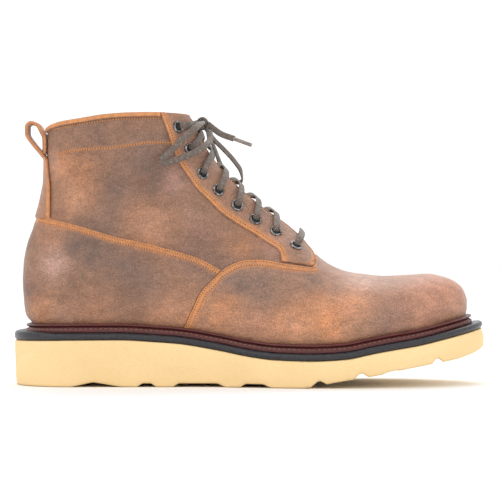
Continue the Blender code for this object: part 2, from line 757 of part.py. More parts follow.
# The vamp's rear and top edge on the outer and inner sides, from the foot up to the ridge.
# Columns: x as a share of the half length, share of the shaft's height.
vamp_rows = [
    (-0.2360, 0.149), (-0.2030, 0.219), (-0.1600, 0.265), (-0.1266, 0.301), (-0.0813, 0.3315),
    (-0.0315, 0.3514), (0.0144, 0.3562), (0.0643, 0.3542), (0.1318, 0.3411), (0.2085, 0.3294),
    (0.2620, 0.3210)]
vamp_foot_x = -0.2850 * half_length
tab_front_x = 0.2845 * half_length
vamp_start = [(vamp_foot_x, float(foot_height(vamp_foot_x)))]
vamp_middle = [(x * half_length, upper_height(rise)) for x, rise in vamp_rows]
tab_front = [(tab_front_x - 0.0008, upper_height(0.335)), (tab_front_x, float(ridge_line(tab_front_x)))]
vamp_edge = smooth_path(vamp_start + vamp_middle + tab_front)

# The counter's top edge, from the back line to the vamp. Columns as above.
counter_rows = [
    (-0.8131, 0.527), (-0.6787, 0.491), (-0.5462, 0.4495), (-0.4538, 0.4297), (-0.3259, 0.3953),
    (-0.2223, 0.3645), (-0.1639, 0.3350), (-0.1310, 0.3080)]
counter_back_rise = 0.545
counter_back = [(float(back_line(upper_height(counter_back_rise))), upper_height(counter_back_rise))]
counter_top = smooth_path(counter_back + [(x * half_length, upper_height(rise)) for x, rise in counter_rows])

# The eyestay's rear edge, from its lower end at the vamp up to the collar. Columns as above.
eyestay_rows = [
    (0.1305, 0.3480), (0.1305, 0.3747), (0.1213, 0.4020), (0.0911, 0.4207), (0.0170, 0.4695),
    (-0.0564, 0.5148), (-0.1311, 0.5697), (-0.1607, 0.6047), (-0.2177, 0.6596), (-0.2564, 0.7186),
    (-0.2938, 0.7749), (-0.3213, 0.8449), (-0.3443, 0.9183), (-0.3731, 0.9985)]
eyestay_rear = smooth_path([(x * half_length, upper_height(rise)) for x, rise in eyestay_rows])
eyestay_tab = [(0.2610 * half_length, 0.3300), (0.2715 * half_length, 0.3520)]
edge_gap = 0.0006


def path_place(path, point):
    """The place, from 0 to 1, where a path comes nearest to a point."""
    places = np.linspace(0, 1, 2001)
    far = np.linalg.norm(path(places) - np.asarray(point, float), axis=-1)
    return float(places[int(far.argmin())])


def build_vamp():
    """The vamp: an overlay over the forefoot, from its curved rear edge to the toe."""
    columns, rows, crown_rows = 20, 13, 4
    across = spread_from(columns, 0.9)
    corner = path_place(vamp_edge, vamp_middle[-1])
    crown = 1 - (1 - corner) * np.linspace(1, 0, crown_rows + 1) ** 2.2
    up = np.concatenate([np.linspace(0, corner, rows - crown_rows + 1), crown[1:]])
    bottom = (feather_edge(vamp_foot_x, feather_toe), across)
    top = (ridge_edge(tab_front_x, vamp_corner_x), across)
    places = fill(bottom, (vamp_edge, up), top, (toe_edge, up), columns, rows)
    seam = seams(columns, rows, False, True, 0)
    patches = both_sides(places, 0.0, -overlay_thick, seam)
    return shell("vamp", patches, seam, material("vamp_leather", (0.31, 0.15, 0.08), 0.7))


def build_counter():
    """The counter: an overlay round the heel, up to the vamp's rear edge."""
    columns, rows = 13, 7
    across = spread_start(np.linspace(0, 1, columns + 1))
    up = spread_start(np.linspace(0, 1, rows + 1))
    end = counter_top(1.0)
    places = np.linspace(0, 1, 200)
    reach = float(np.interp(end[1], vamp_edge(places)[:, 1], places))

    def front(t):
        edge = vamp_edge(reach * np.asarray(t, float))
        return edge - np.array([edge_gap, 0.0])

    top_path = smooth_path([tuple(point) for point in counter_top(np.linspace(0, 0.96, 12))] + [tuple(front(1.0))])
    foot_end = float(front(0.0)[0])
    bottom = (feather_edge(feather_heel, foot_end), across)
    left = (back_edge(float(foot_height(feather_heel)), upper_height(counter_back_rise)), up)
    grid = fill(bottom, left, (top_path, across), (front, up), columns, rows)
    seam = seams(columns, rows, True)
    patches = both_sides(grid, counter_thick - overlay_thick, -overlay_thick, seam)
    return shell("counter", patches, seam, material("counter_leather", (0.30, 0.16, 0.10), 0.7))


def build_eyestay(name, side):
    """One facing with its rounded tab, between the throat's edge and its own rear edge."""
    columns, tab_rows = 4, 3
    up = np.concatenate([np.linspace(0, 0.075, tab_rows + 1), np.linspace(0.075, 1, 10)[1:]])
    rows = len(up) - 1
    across = spread_end(columns)
    tab = [(x, upper_height(rise)) for x, rise in eyestay_tab]
    edge = [tuple(point) for point in throat_edge(np.array([0.02, 0.05, 0.1, 0.2, 0.35, 0.5, 0.65, 0.8, 1.0]))]
    front = smooth_path(tab + edge)
    collar_end = float(eyestay_rear(1.0)[0])

    def low(t):
        start, end = eyestay_rear(0.0), front(0.0)
        return start + (end - start) * np.asarray(t, float)[:, None]

    def high(t):
        x = collar_end + (float(front(1.0)[0]) - collar_end) * np.asarray(t, float)
        return np.stack([x, collar_height_at(x)], axis=-1)

    grid = fill((low, across), (eyestay_rear, up), (high, across), (front, up), columns, rows)
    outside = on_upper(grid[..., 0], grid[..., 1], side, np.zeros(grid.shape[:2]))
    inside = on_upper(grid[..., 0], grid[..., 1], side, np.full(grid.shape[:2], -overlay_thick))
    return shell(name, [(outside, inside, side)], None, material(name + "_leather", (0.33, 0.17, 0.09), 0.7))


def collar_height_at(x):
    """The collar's top line as a height over x."""
    places = collar_path(np.linspace(0, 1, 200))
    return np.interp(x, places[:, 0], places[:, 1])


def build_collar_band():
    """The turned edge along the collar, from eyestay to eyestay round the back."""
    columns, rows = 14, 1
    across = np.linspace(0, 1, columns + 1) ** 1.9
    end = float(eyestay_rear(1.0)[0]) - edge_gap
    start = float(collar_path(0.0)[0])

    def edge_at(drop):
        def edge(t):
            x = start + (end - start) * np.asarray(t, float)
            z = collar_height_at(x) - drop
            return np.stack([np.where(np.asarray(t) <= 0, back_line(z), x), z], axis=-1)
        return edge

    def end_line(x):
        z_top = float(collar_height_at(x))
        line = back_edge(z_top - collar_band_width, z_top)
        if x > start:
            return lambda t: np.stack([np.full_like(np.asarray(t, float), x), line(t)[..., 1]], axis=-1)
        return line

    up = np.linspace(0, 1, rows + 1)
    grid = fill((edge_at(collar_band_width), across), (end_line(start), up), (edge_at(0.0), across),
                (end_line(end), up), columns, rows)
    seam = seams(columns, rows, True)
    patches = both_sides(grid, 0.0, -overlay_thick, seam)
    return shell("collar_band", patches, seam, material("edge_leather", (0.48, 0.22, 0.09), 0.6))


# The pull loop in the side view, from the counter up the back and round. Columns: x as a share of
# the half length, share of the shaft's height, half width as a share of the loop's.
loop_rows = [
    (-0.8850, 0.8150, 1.05), (-0.9000, 0.8350, 1.0), (-0.9290, 0.8720, 1.0), (-0.9500, 0.9120, 1.0),
    (-0.9500, 0.9420, 1.0), (-0.9330, 0.9590, 1.0), (-0.9060, 0.9500, 1.0), (-0.8900, 0.9200, 1.0),
    (-0.8860, 0.8850, 1.0), (-0.8850, 0.8600, 0.95)]


def build_pull_loop():
    """The backstay strap over the back seam, which leaves the boot and turns back as a loop."""
    low, high = upper_height(counter_back_rise) + edge_gap, upper_height(0.790)
    strap_z = np.linspace(low, high, 6)
    centre = [(float(back_line(z)), float(z)) for z in strap_z]
    half = list(np.linspace(backstay_width_base, backstay_width_top, 6) / 2)
    on_boot = len(centre)
    centre += [(x * half_length, upper_height(rise)) for x, rise, _ in loop_rows]
    half += [loop_width / 2 * of for _, _, of in loop_rows]
    centre = np.array(centre)
    across = np.linspace(-1, 1, 5)
    way = np.gradient(centre, axis=0)
    way = way / np.linalg.norm(way, axis=1, keepdims=True)
    out = np.stack([-way[:, 1], way[:, 0]], axis=-1)
    faces_out = np.zeros((len(across), len(centre), 3))
    faces_in = np.zeros_like(faces_out)
    for k, share_across in enumerate(across):
        for i, (x, z) in enumerate(centre):
            y = share_across * half[i]
            level = min(z, upper_height(0.95))
            start = float(back_line(level))
            depths = np.linspace(0, 0.02, 60)
            widths = half_width(start + depths, np.full_like(depths, level))
            recede = float(np.interp(abs(y), widths, depths))
            if i >= on_boot:
                recede *= 0.6
            for grid, lift in ((faces_out, loop_thick / 2), (faces_in, -loop_thick / 2)):
                if i < on_boot:
                    side = outer if y < 0 else inner
                    spot = on_upper(x + recede, z, side, lift - 0.1 * loop_thick, abs(share_across) < 1e-9)
                    grid[k, i] = spot
                else:
                    grid[k, i] = (x + recede + out[i, 0] * lift, y, z + out[i, 1] * lift)
    return shell("pull_loop", [(faces_out, faces_in, inner)], None, material("strap_leather", (0.36, 0.17, 0.08), 0.7))


# Eyelets, from the collar down. Columns: x as a share of the half length, share of the shaft's height.
eyelet_places = [
    (-0.3010, 0.9341), (-0.2525, 0.8367), (-0.1987, 0.7310), (-0.1325, 0.6582), (-0.0544, 0.5903),
    (0.0230, 0.5285), (0.1089, 0.4756), (0.1934, 0.4145)]


def frame_on_upper(x, z, side):
    """A point of the reference surface with its normal and two directions along it."""
    base = on_upper(x, z, side, 0.0)
    normal = on_upper(x, z, side, 0.001) - base
    normal = normal / np.linalg.norm(normal)
    along = np.cross([0.0, 1.0, 0.0], normal)
    along = along / np.linalg.norm(along)
    return base, normal, along, np.cross(normal, along)


def build_eyelet(name, x, z, side):
    """One eyelet: a flat ring that stands on the facing."""
    base, normal, along, over = frame_on_upper(x, z, side)
    count = 8
    # Columns: radius, height over the facing
    profile = [
        (eyelet_hole / 2, 0.0), (eyelet_width / 2, 0.0), (0.4 * (eyelet_hole + eyelet_width) / 2, eyelet_thick)]
    points, faces = [], []
    for k in range(count):
        turn = 2 * math.pi * k / count
        arm = along * math.cos(turn) + over * math.sin(turn)
        for radius, height in profile:
            points.append(base + arm * radius + normal * (fit + height))
    size = len(profile)
    for k in range(count):
        for j in range(size):
            after = (k + 1) % count
            following = (j + 1) % size
            faces.append([k * size + j, after * size + j, after * size + following, k * size + following])
    return add_piece(name, points, faces, material(name + "_metal", (0.10, 0.10, 0.11), 0.35, 1.0))


def over_throat(places, widths, lifts):
    """Points over the throat, with directions square to the surface. Width is negative outside."""
    spots = below_ridge(places, np.maximum(np.abs(widths), 1e-5))
    points, normals = [], []
    for (x, z), width, lift in zip(spots, widths, lifts):
        side = outer if width < 0 else inner
        flat = abs(width) < 1e-6
        point = on_upper(x, z, side, lift, flat)
        points.append(point)
        normals.append(on_upper(x, z, side, lift + 0.001, flat) - point)
    normals = np.array(normals)
    return np.array(points), normals / np.linalg.norm(normals, axis=1, keepdims=True)


def ribbon(name, points, normals, width, thick, finish):
    """A flat lace as a closed solid along points."""
    way = np.gradient(points, axis=0)
    wide = np.cross(way, normals)
    wide = wide / np.linalg.norm(wide, axis=1, keepdims=True) * width / 2
    high = normals * thick / 2
    corners = np.stack([points - wide - high, points + wide - high, points + wide + high,
                        points - wide + high], axis=1)
    faces = []
    last = len(points) - 1
    for i in range(last):
        for k in range(4):
            after = (k + 1) % 4
            faces.append([4 * i + 4 + k, 4 * i + 4 + after, 4 * i + after, 4 * i + k])
    faces.append([0, 1, 2, 3])
    faces.append([4 * last + 3, 4 * last + 2, 4 * last + 1, 4 * last])
    return add_piece(name, corners.reshape(-1, 3), faces, finish)


def strand(name, start, end, half_gap, side, start_reach, finish):
    """One lace strand from above an eyelet, over the facing's edge and down to the far edge.

    Start and end are the places on the throat where it begins and where it would reach the next row.
    """
    over = fit + eyelet_thick + lace_fit + lace_thick / 2
    # Columns: share of the way along the throat, signed width, lift
    route = smooth_path([
        (0.0, side * start_reach, over), (0.16, side * (half_gap + 0.002), 0.95 * over),
        (0.34, side * half_gap * 0.5, 0.6 * over), (0.5, 0.0, 0.4 * over),
        (0.8, -side * (half_gap - 0.8 * lace_width), -0.2 * over)])
    steps = route(np.linspace(0, 1, 7))
    places = start + (end - start) * steps[:, 0]
    points, normals = over_throat(places, steps[:, 1], steps[:, 2])
    return ribbon(name, points, normals, lace_width, lace_thick, finish)


def half_gap_at(place):
    """Half the throat's gap at a place on the throat path."""
    t = (place - throat_end_t) / (throat_top_t - throat_end_t)
    return (throat_gap_end + (throat_gap_top - throat_gap_end) * np.clip(t, 0, 1)) / 2


def build_bar(name, row, middle_place, sag, finish):
    """A stretch of lace between the two eyelets of one row. Sag lowers its middle into the throat."""
    x, rise = eyelet_places[row]
    spot = (x * half_length, upper_height(rise))
    place = path_place(throat_path, spot)
    reach = float(half_width(*spot))
    over = fit + eyelet_thick + lace_fit + lace_thick / 2
    shares = np.linspace(-1, 1, 9)
    places = middle_place + (place - middle_place) * np.abs(shares)
    lifts = over - sag * (1 - ease(np.abs(shares), 0.0, 0.45))
    points, normals = over_throat(places, shares * reach, lifts)
    return ribbon(name, points, normals, lace_width, lace_thick, finish)


def build_laces():
    """The lace: a bar at the lowest eyelets, joined crossings above it and a bar at the top."""
    finish = material("lace_cloth", (0.16, 0.11, 0.08), 0.85)
    spots = [(x * half_length, upper_height(rise)) for x, rise in eyelet_places]
    places = [path_place(throat_path, spot) for spot in spots]
    reaches = [float(half_width(x, z)) for x, z in spots]
    build_bar("lace_bar_low", len(spots) - 1, places[-1], 0.0, finish)
    build_bar("lace_bar_top", 0, path_place(throat_path, knot_seat), knot_sag, finish)
    for k in range(len(spots) - 2):
        start, end = places[k + 1], places[k]
        if k == 0:
            end = start + 0.72 * (end - start)
        gap = half_gap_at((start + end) / 2)
        first = strand("lace_crossing_%d" % (k + 1), start, end, gap, outer, reaches[k + 1], finish)
        second = strand("lace_cutter_%d" % (k + 1), start, end, gap, inner, reaches[k + 1], finish)
        second.hide_render = True
        second.display_type = "WIRE"
        join = first.modifiers.new("join", "BOOLEAN")
        join.operation = "UNION"
        join.solver = "EXACT"
        join.object = second


# The bow: where its knot sits on the ridge, its size, and the hand-laid routes of its loops and ends
knot_seat = (-0.0345, 0.1668)
knot_sag = 0.0029
knot_centre = (-0.0311, -0.0010, 0.1686)
knot_size = (0.0056, 0.0104, 0.0078)
lace_routes = {
    "lace_loop_outer": [
        (-0.0315, -0.0070, 0.1692), (-0.0310, -0.0155, 0.1686), (-0.0343, -0.0245, 0.1652),
        (-0.0415, -0.0310, 0.1588), (-0.0475, -0.0362, 0.1522), (-0.0530, -0.0392, 0.1468),
        (-0.0556, -0.0402, 0.1440), (-0.0535, -0.0400, 0.1420), (-0.0494, -0.0385, 0.1432),
        (-0.0430, -0.0358, 0.1455), (-0.0363, -0.0318, 0.1485), (-0.0292, -0.0265, 0.1530),
        (-0.0256, -0.0165, 0.1580), (-0.0264, -0.0070, 0.1634)],
    "lace_loop_front": [
        (-0.0285, 0.0000, 0.1655), (-0.0235, 0.0020, 0.1585), (-0.0185, 0.0035, 0.1535),
        (-0.0101, 0.0055, 0.1444), (-0.0059, 0.0085, 0.1379), (-0.0050, 0.0140, 0.1330),
        (-0.0075, 0.0190, 0.1300), (-0.0113, 0.0225, 0.1302), (-0.0155, 0.0240, 0.1342),
        (-0.0192, 0.0235, 0.1420), (-0.0225, 0.0190, 0.1510), (-0.0255, 0.0125, 0.1588),
        (-0.0286, 0.0043, 0.1668)],
    "lace_end_front": [
        (-0.0278, -0.0024, 0.1684), (-0.0240, -0.0045, 0.1655), (-0.0185, -0.0070, 0.1616),
        (-0.0102, -0.0090, 0.1585)],
    "lace_end_inner": [
        (-0.0306, 0.0048, 0.1702), (-0.0322, 0.0140, 0.1695), (-0.0372, 0.0245, 0.1660),
        (-0.0412, 0.0310, 0.1605)]}
# The tips go straight on from the two ends
tip_gap = 0.0004
tip_length = 0.0120
lace_tips = {"lace_tip_front": "lace_end_front", "lace_tip_inner": "lace_end_inner"}


def build_cord(name, points, thick, finish):
    """A round cord along points, with closed ends."""
    line = bpy.data.curves.new(name, "CURVE")
    line.dimensions = "3D"
    line.bevel_depth = thick / 2
    line.bevel_resolution = 2
    line.use_fill_caps = True
    spline = line.splines.new("POLY")
    spline.points.add(len(points) - 1)
    for spot, point in zip(spline.points, points):
        spot.co = (*map(float, point), 1.0)
    cord = bpy.data.objects.new(name, line)
    bpy.context.collection.objects.link(cord)
    line.materials.append(finish)
    return cord


def build_bow():
    """The bow's knot, its two loops and its two ends with their tips."""
    finish = material("bow_cloth", (0.16, 0.11, 0.08), 0.85)
    stack, around = 5, 8
    points, faces = [(0, 0, knot_size[2] / 2)], []
    for j in range(1, stack):
        tilt = math.pi * j / stack
        for k in range(around):
            turn = 2 * math.pi * k / around
            points.append((knot_size[0] / 2 * math.sin(tilt) * math.cos(turn),
                           knot_size[1] / 2 * math.sin(tilt) * math.sin(turn),
                           knot_size[2] / 2 * math.cos(tilt)))
    points.append((0, 0, -knot_size[2] / 2))
    last = len(points) - 1
    for k in range(around):
        after = (k + 1) % around
        faces.append([0, 1 + k, 1 + after])
        for j in range(stack - 2):
            ring, below = 1 + j * around, 1 + (j + 1) * around
            faces.append([ring + k, below + k, below + after, ring + after])
        ring = 1 + (stack - 2) * around
        faces.append([ring + k, last, ring + after])
    add_piece("lace_knot", np.array(points) + np.array(knot_centre), faces, finish)
    for name, route in lace_routes.items():
        path = smooth_path(route)
        length = np.linalg.norm(np.diff(path(np.linspace(0, 1, 200)), axis=0), axis=1).sum()
        count = max(3, int(round(length / (2.2 * cord_thick))))
        build_cord(name, path(np.linspace(0, 1, count + 1)), cord_thick, finish)
    for name, end_name in lace_tips.items():
        before, near = (np.array(point) for point in lace_routes[end_name][-2:])
        way = (near - before) / np.linalg.norm(near - before)
        ends = [near + way * tip_gap, near + way * (tip_gap + tip_length)]
        build_cord(name, ends, tip_thick, material(name + "_film", (0.20, 0.14, 0.10), 0.4))


build_outsole()
build_midsole()
build_welt()
build_insole()
build_upper()
build_tongue()
build_vamp()
build_counter()
build_eyestay("eyestay_outer", outer)
build_eyestay("eyestay_inner", inner)
build_collar_band()
build_pull_loop()
for number, (across_share, rise) in enumerate(eyelet_places, 1):
    build_eyelet("eyelet_outer_%d" % number, across_share * half_length, upper_height(rise), outer)
    build_eyelet("eyelet_inner_%d" % number, across_share * half_length, upper_height(rise), inner)
build_laces()
build_bow()
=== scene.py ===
"""The wedge sole work boot, dressed over its frame: leather, rubber, thread, metal and laces.

The toe points to +X, the outer side to -Y and the collar to +Z, in metres, with the floor at z = 0.
Sections follow the boot as it is put together, from the sole up to the laces.
"""
import math

import bpy
import numpy as np
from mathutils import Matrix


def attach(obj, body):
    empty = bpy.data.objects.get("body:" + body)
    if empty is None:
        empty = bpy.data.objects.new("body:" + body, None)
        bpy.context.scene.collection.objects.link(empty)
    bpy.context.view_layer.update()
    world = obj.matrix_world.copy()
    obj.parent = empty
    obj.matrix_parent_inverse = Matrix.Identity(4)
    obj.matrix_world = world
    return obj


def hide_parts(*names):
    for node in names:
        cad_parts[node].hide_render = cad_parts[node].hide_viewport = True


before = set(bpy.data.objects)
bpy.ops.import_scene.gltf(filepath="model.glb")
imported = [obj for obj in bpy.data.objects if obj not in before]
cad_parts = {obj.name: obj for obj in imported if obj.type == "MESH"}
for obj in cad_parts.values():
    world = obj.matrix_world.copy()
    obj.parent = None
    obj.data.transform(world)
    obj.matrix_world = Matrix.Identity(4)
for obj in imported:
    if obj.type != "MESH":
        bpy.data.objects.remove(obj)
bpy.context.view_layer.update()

# Studio
# A plain white table in soft light from large panels, as for a catalogue picture. The camera stands on
# the outer side with a long lens, a little above the ball and almost level.
picture_width = 0.325
camera_distance = 1.54
camera_height = 0.100
aim_height = 0.0866
sensor_width = 36.0
lens_data = bpy.data.cameras.new("camera")
lens_data.sensor_width = sensor_width
lens_data.lens = sensor_width * camera_distance / picture_width


def add_object(name, data):
    """An object in the scene."""
    thing = bpy.data.objects.new(name, data)
    bpy.context.collection.objects.link(thing)
    return thing


camera = add_object("camera", lens_data)
camera.location = (0.0, -camera_distance, camera_height)
camera.rotation_euler = (math.pi / 2 + math.atan((aim_height - camera_height) / camera_distance), 0.0, 0.0)
bpy.context.scene.camera = camera
bpy.context.scene.view_settings.view_transform = "Standard"

sky = bpy.data.worlds.new("studio")
bpy.context.scene.world = sky
sky.use_nodes = True
sky.node_tree.nodes["Background"].inputs["Color"].default_value = (1.0, 1.0, 1.0, 1.0)
sky.node_tree.nodes["Background"].inputs["Strength"].default_value = 1.12


def add_panel(name, place, aim, size, power):
    """One square soft light, turned to a point."""
    lamp = bpy.data.lights.new(name, "AREA")
    lamp.shape = "SQUARE"
    lamp.size = size
    lamp.energy = power
    panel = add_object(name, lamp)
    way = np.array(aim) - np.array(place)
    panel.location = place
    panel.rotation_euler = (math.atan2(math.hypot(way[0], way[1]), -way[2]), 0.0, math.atan2(-way[0], way[1]))


add_panel("light_left", (-0.9, -1.1, 1.2), (0.0, 0.0, 0.08), 0.7, 5.0)
add_panel("light_right", (1.3, -0.8, 0.7), (0.05, 0.0, 0.08), 0.6, 2.3)
add_panel("light_top", (0.1, 0.9, 1.2), (0.0, 0.0, 0.1), 0.9, 8.0)

table_size = 6.0


def nodes_of(name):
    """A new material with its tree and its shader."""
    finish = bpy.data.materials.new(name)
    finish.use_nodes = True
    return finish, finish.node_tree, finish.node_tree.nodes["Principled BSDF"]


def feed(tree, node, sockets):
    """Sets sockets of a node, each to a value or from the socket that drives it."""
    for key, value in sockets.items():
        if isinstance(value, bpy.types.NodeSocket):
            tree.links.new(value, node.inputs[key])
        else:
            node.inputs[key].default_value = value


table_white, tree, shader = nodes_of("table_white")
feed(tree, shader, {"Base Color": (0.90, 0.90, 0.90, 1.0), "Roughness": 0.75})
table_mesh = bpy.data.meshes.new("table")
table_corners = [(-table_size, -table_size, 0.0), (table_size, -table_size, 0.0),
                 (table_size, table_size, 0.0), (-table_size, table_size, 0.0)]
table_mesh.from_pydata(table_corners, [], [(0, 1, 2, 3)])
table_mesh.materials.append(table_white)
table = add_object("table", table_mesh)

# Outsole
# One light block of cream rubber, cut as a wedge and sanded on its side, with shallow lugs across its
# tread. It is cemented under the midsole.
sole_length = 0.305
ball_width = 0.112
waist_width = 0.076
heel_width = 0.080
heel_round = 0.040
toe_round = 0.075
heel_height = 0.0293
ball_height = 0.0170
toe_height = 0.0368
toe_spring = 0.0240
tread_depth = 0.0029
tread_step = 0.0008
half_length = sole_length / 2


def smooth_line(rows):
    """A smooth line value(place) through the rows (place, value), which never overshoots a row."""
    knots = np.array([row[0] for row in rows], float)
    values = np.array([row[1] for row in rows], float)
    run = np.diff(knots)
    rise = np.diff(values) / run
    slope = np.concatenate(([rise[0]], np.zeros(len(rise) - 1), [rise[-1]]))
    for k in range(1, len(rise)):
        if rise[k - 1] * rise[k] > 0:
            before = 2 * run[k] + run[k - 1]
            after = run[k] + 2 * run[k - 1]
            slope[k] = (before + after) / (before / rise[k - 1] + after / rise[k])

    def line(place):
        place = np.clip(place, knots[0], knots[-1])
        k = np.clip(np.searchsorted(knots, place, side="right") - 1, 0, len(run) - 1)
        t = (place - knots[k]) / run[k]
        start = values[k] * (1 + 2 * t) * (1 - t) ** 2 + run[k] * slope[k] * t * (1 - t) ** 2
        end = values[k + 1] * t * t * (3 - 2 * t) + run[k] * slope[k + 1] * t * t * (t - 1)
        return start + end

    return line


def smooth_path(points):
    """A smooth path point(t), t from 0 to 1 by length, through points of any dimension."""
    points = np.array(points, float)
    steps = np.linalg.norm(np.diff(points, axis=0), axis=1)
    places = np.concatenate(([0.0], np.cumsum(steps))) / steps.sum()
    lines = [smooth_line(list(zip(places, points[:, k]))) for k in range(points.shape[1])]
    return lambda t: np.stack([line(np.asarray(t, float)) for line in lines], axis=-1)


def ease(value, low, high):
    """0 below low, 1 above high, and a smooth step between them."""
    t = np.clip((value - low) / (high - low), 0.0, 1.0)
    return t * t * (3 - 2 * t)


def bulge(off, power):
    """The width of a rounded form, 1 at its middle (off 0) and 0 at its edge (off 1)."""
    return np.maximum(1 - np.clip(np.abs(off), 0, 1) ** power, 0.0) ** (1 / power)


def unit(ways):
    """Directions of length 1."""
    return ways / np.maximum(np.linalg.norm(ways, axis=-1, keepdims=True), 1e-12)


# Side view of the outsole. Columns: share of the sole's length from the heel, height over the floor.
deck = smooth_line([
    (0.000, 0.980 * heel_height), (0.130, 1.010 * heel_height), (0.225, 1.015 * heel_height),
    (0.310, 0.970 * heel_height), (0.352, 0.935 * heel_height), (0.431, 0.800 * heel_height),
    (0.505, 1.130 * ball_height), (0.554, 1.030 * ball_height), (0.627, 1.000 * ball_height),
    (0.693, 1.060 * ball_height), (0.759, 0.595 * toe_height), (0.797, 0.650 * toe_height),
    (0.846, 0.715 * toe_height), (0.910, 0.830 * toe_height), (0.982, 0.965 * toe_height),
    (1.000, 1.000 * toe_height)])
spring = smooth_line([
    (0.000, 0.0), (0.603, 0.0), (0.630, 0.04 * toe_spring), (0.670, 0.14 * toe_spring),
    (0.710, 0.23 * toe_spring), (0.766, 0.34 * toe_spring), (0.823, 0.49 * toe_spring),
    (0.877, 0.61 * toe_spring), (0.933, 0.73 * toe_spring), (0.975, 0.88 * toe_spring),
    (1.000, 1.00 * toe_spring)])

# Tread grooves. Columns: start, start of the flat, end of the flat, end (shares of length), depth.
tread_grooves = [
    (0.128, 0.170, 0.178, 0.232, tread_depth),
    (0.264, 0.277, 0.294, 0.305, 0.8 * tread_depth),
    (0.339, 0.352, 0.433, 0.448, 0.8 * tread_depth),
    (0.480, 0.490, 0.527, 0.544, 0.8 * tread_depth),
    (0.625, 0.639, 0.645, 0.659, tread_depth),
    (0.714, 0.726, 0.732, 0.744, tread_depth),
    (0.774, 0.782, 0.802, 0.810, tread_step),
    (0.878, 0.887, 0.891, 0.902, tread_depth)]

# Plan of the outsole. Columns: share of length, half width, shift of the middle to the inner side.
plan_rows = [
    (0.00, 0.500 * heel_width, 0.000), (0.13, 0.505 * heel_width, 0.000),
    (0.27, 0.490 * heel_width, -0.006 * ball_width), (0.40, 0.500 * waist_width, -0.018 * ball_width),
    (0.53, 0.415 * ball_width, -0.018 * ball_width), (0.65, 0.492 * ball_width, 0.000),
    (0.72, 0.500 * ball_width, 0.012 * ball_width), (0.83, 0.490 * ball_width, 0.034 * ball_width),
    (1.00, 0.460 * ball_width, 0.055 * ball_width)]
plan_half = smooth_line([(row[0], row[1]) for row in plan_rows])
plan_middle = smooth_line([(row[0], row[2]) for row in plan_rows])
heel_fullness = 2.2
toe_fullness = 2.25

# The outer and inner sides, as seen from above: the outer side is -Y on a right boot.
outer, inner = -1.0, 1.0


def plan_point(turn, side):
    """A point of the outsole's plan. Turn runs from 0 at the heel to pi at the toe."""
    x = -half_length * np.cos(turn)
    from_heel = (x + half_length) / heel_round
    from_toe = (half_length - x) / toe_round
    round_off = bulge(1 - np.minimum(from_heel, 1), heel_fullness)
    round_off = round_off * bulge(1 - np.minimum(from_toe, 1), toe_fullness)
    along = (x + half_length) / sole_length
    y = plan_middle(along) + side * plan_half(along) * round_off
    return np.stack([x, y], axis=-1)


all_turns = np.linspace(0, math.pi, 721)
plan_low = plan_point(all_turns, outer)[:, 1].min()
plan_high = plan_point(all_turns, inner)[:, 1].max()
plan_shift = -(plan_low + plan_high) / 2


def inset_plan(turn, side, inset):
    """The plan's outline moved inwards, square to itself, by inset."""
    step = 1e-4
    ahead = plan_point(np.minimum(turn + step, math.pi), side)
    behind = plan_point(np.maximum(turn - step, 0.0), side)
    way = unit(ahead - behind)
    outward = np.stack([-way[..., 1] * side, way[..., 0] * side], axis=-1)
    ends = (turn < step) | (turn > math.pi - step)
    endwise = np.stack([np.where(turn < 1, -1.0, 1.0), np.zeros_like(turn)], axis=-1)
    outward = np.where(ends[..., None], endwise, outward)
    point = plan_point(turn, side) - outward * np.asarray(inset)[..., None]
    point[..., 1] = point[..., 1] + plan_shift
    return point


def share(x):
    """The share of the sole's length at x."""
    return (x + half_length) / sole_length


def turn_at(along):
    """The turn of the plan at a share of the sole's length."""
    return np.arccos(np.clip(1 - 2 * np.asarray(along, float), -1, 1))


def tread(along):
    """The height of the tread's underside: the toe spring with its grooves cut in."""
    depth = np.zeros_like(along)
    for start, flat_start, flat_end, end, deep in tread_grooves:
        up = np.clip((along - start) / (flat_start - start), 0, 1)
        down = np.clip((end - along) / (end - flat_end), 0, 1)
        depth = np.maximum(depth, deep * np.minimum(up, down))
    return spring(along) + depth


def add_node(tree, kind, sockets=None, **settings):
    """A node in a tree, with its settings and its sockets."""
    node = tree.nodes.new(kind)
    for key, value in settings.items():
        setattr(node, key, value)
    feed(tree, node, sockets or {})
    return node


def object_place(tree):
    """The place on the object, in metres."""
    return add_node(tree, "ShaderNodeTexCoord").outputs["Object"]


def stretched(tree, where, scale):
    """A place stretched along the three axes."""
    return add_node(tree, "ShaderNodeMapping", {"Vector": where, "Scale": scale}).outputs["Vector"]


def noise_at(tree, where, scale, detail=4.0, rough=0.55):
    """A soft noise with so many patches to the metre."""
    sockets = {"Vector": where, "Scale": scale, "Detail": detail, "Roughness": rough}
    return add_node(tree, "ShaderNodeTexNoise", sockets).outputs["Fac"]


def ranged(tree, value, low, high, start=0.0, end=1.0):
    """A value taken from one range to another."""
    sockets = {"Value": value, "From Min": low, "From Max": high, "To Min": start, "To Max": end}
    return add_node(tree, "ShaderNodeMapRange", sockets).outputs["Result"]


def product(tree, first, second, operation="MULTIPLY"):
    """Two values multiplied, or joined in another way."""
    return add_node(tree, "ShaderNodeMath", {0: first, 1: second}, operation=operation).outputs[0]


def blended(tree, share_of, first, second):
    """Two colours mixed, from the first to the second. Each is a colour or a socket."""
    first, second = ((*value, 1.0) if isinstance(value, tuple) else value for value in (first, second))
    return add_node(tree, "ShaderNodeMix", {0: share_of, 6: first, 7: second}, data_type="RGBA").outputs[2]


def raised(tree, height, distance, before=None):
    """A bumped normal from a height, on top of another one."""
    sockets = {"Strength": 1.0, "Distance": distance, "Height": height}
    if before is not None:
        sockets["Normal"] = before
    return add_node(tree, "ShaderNodeBump", sockets).outputs["Normal"]


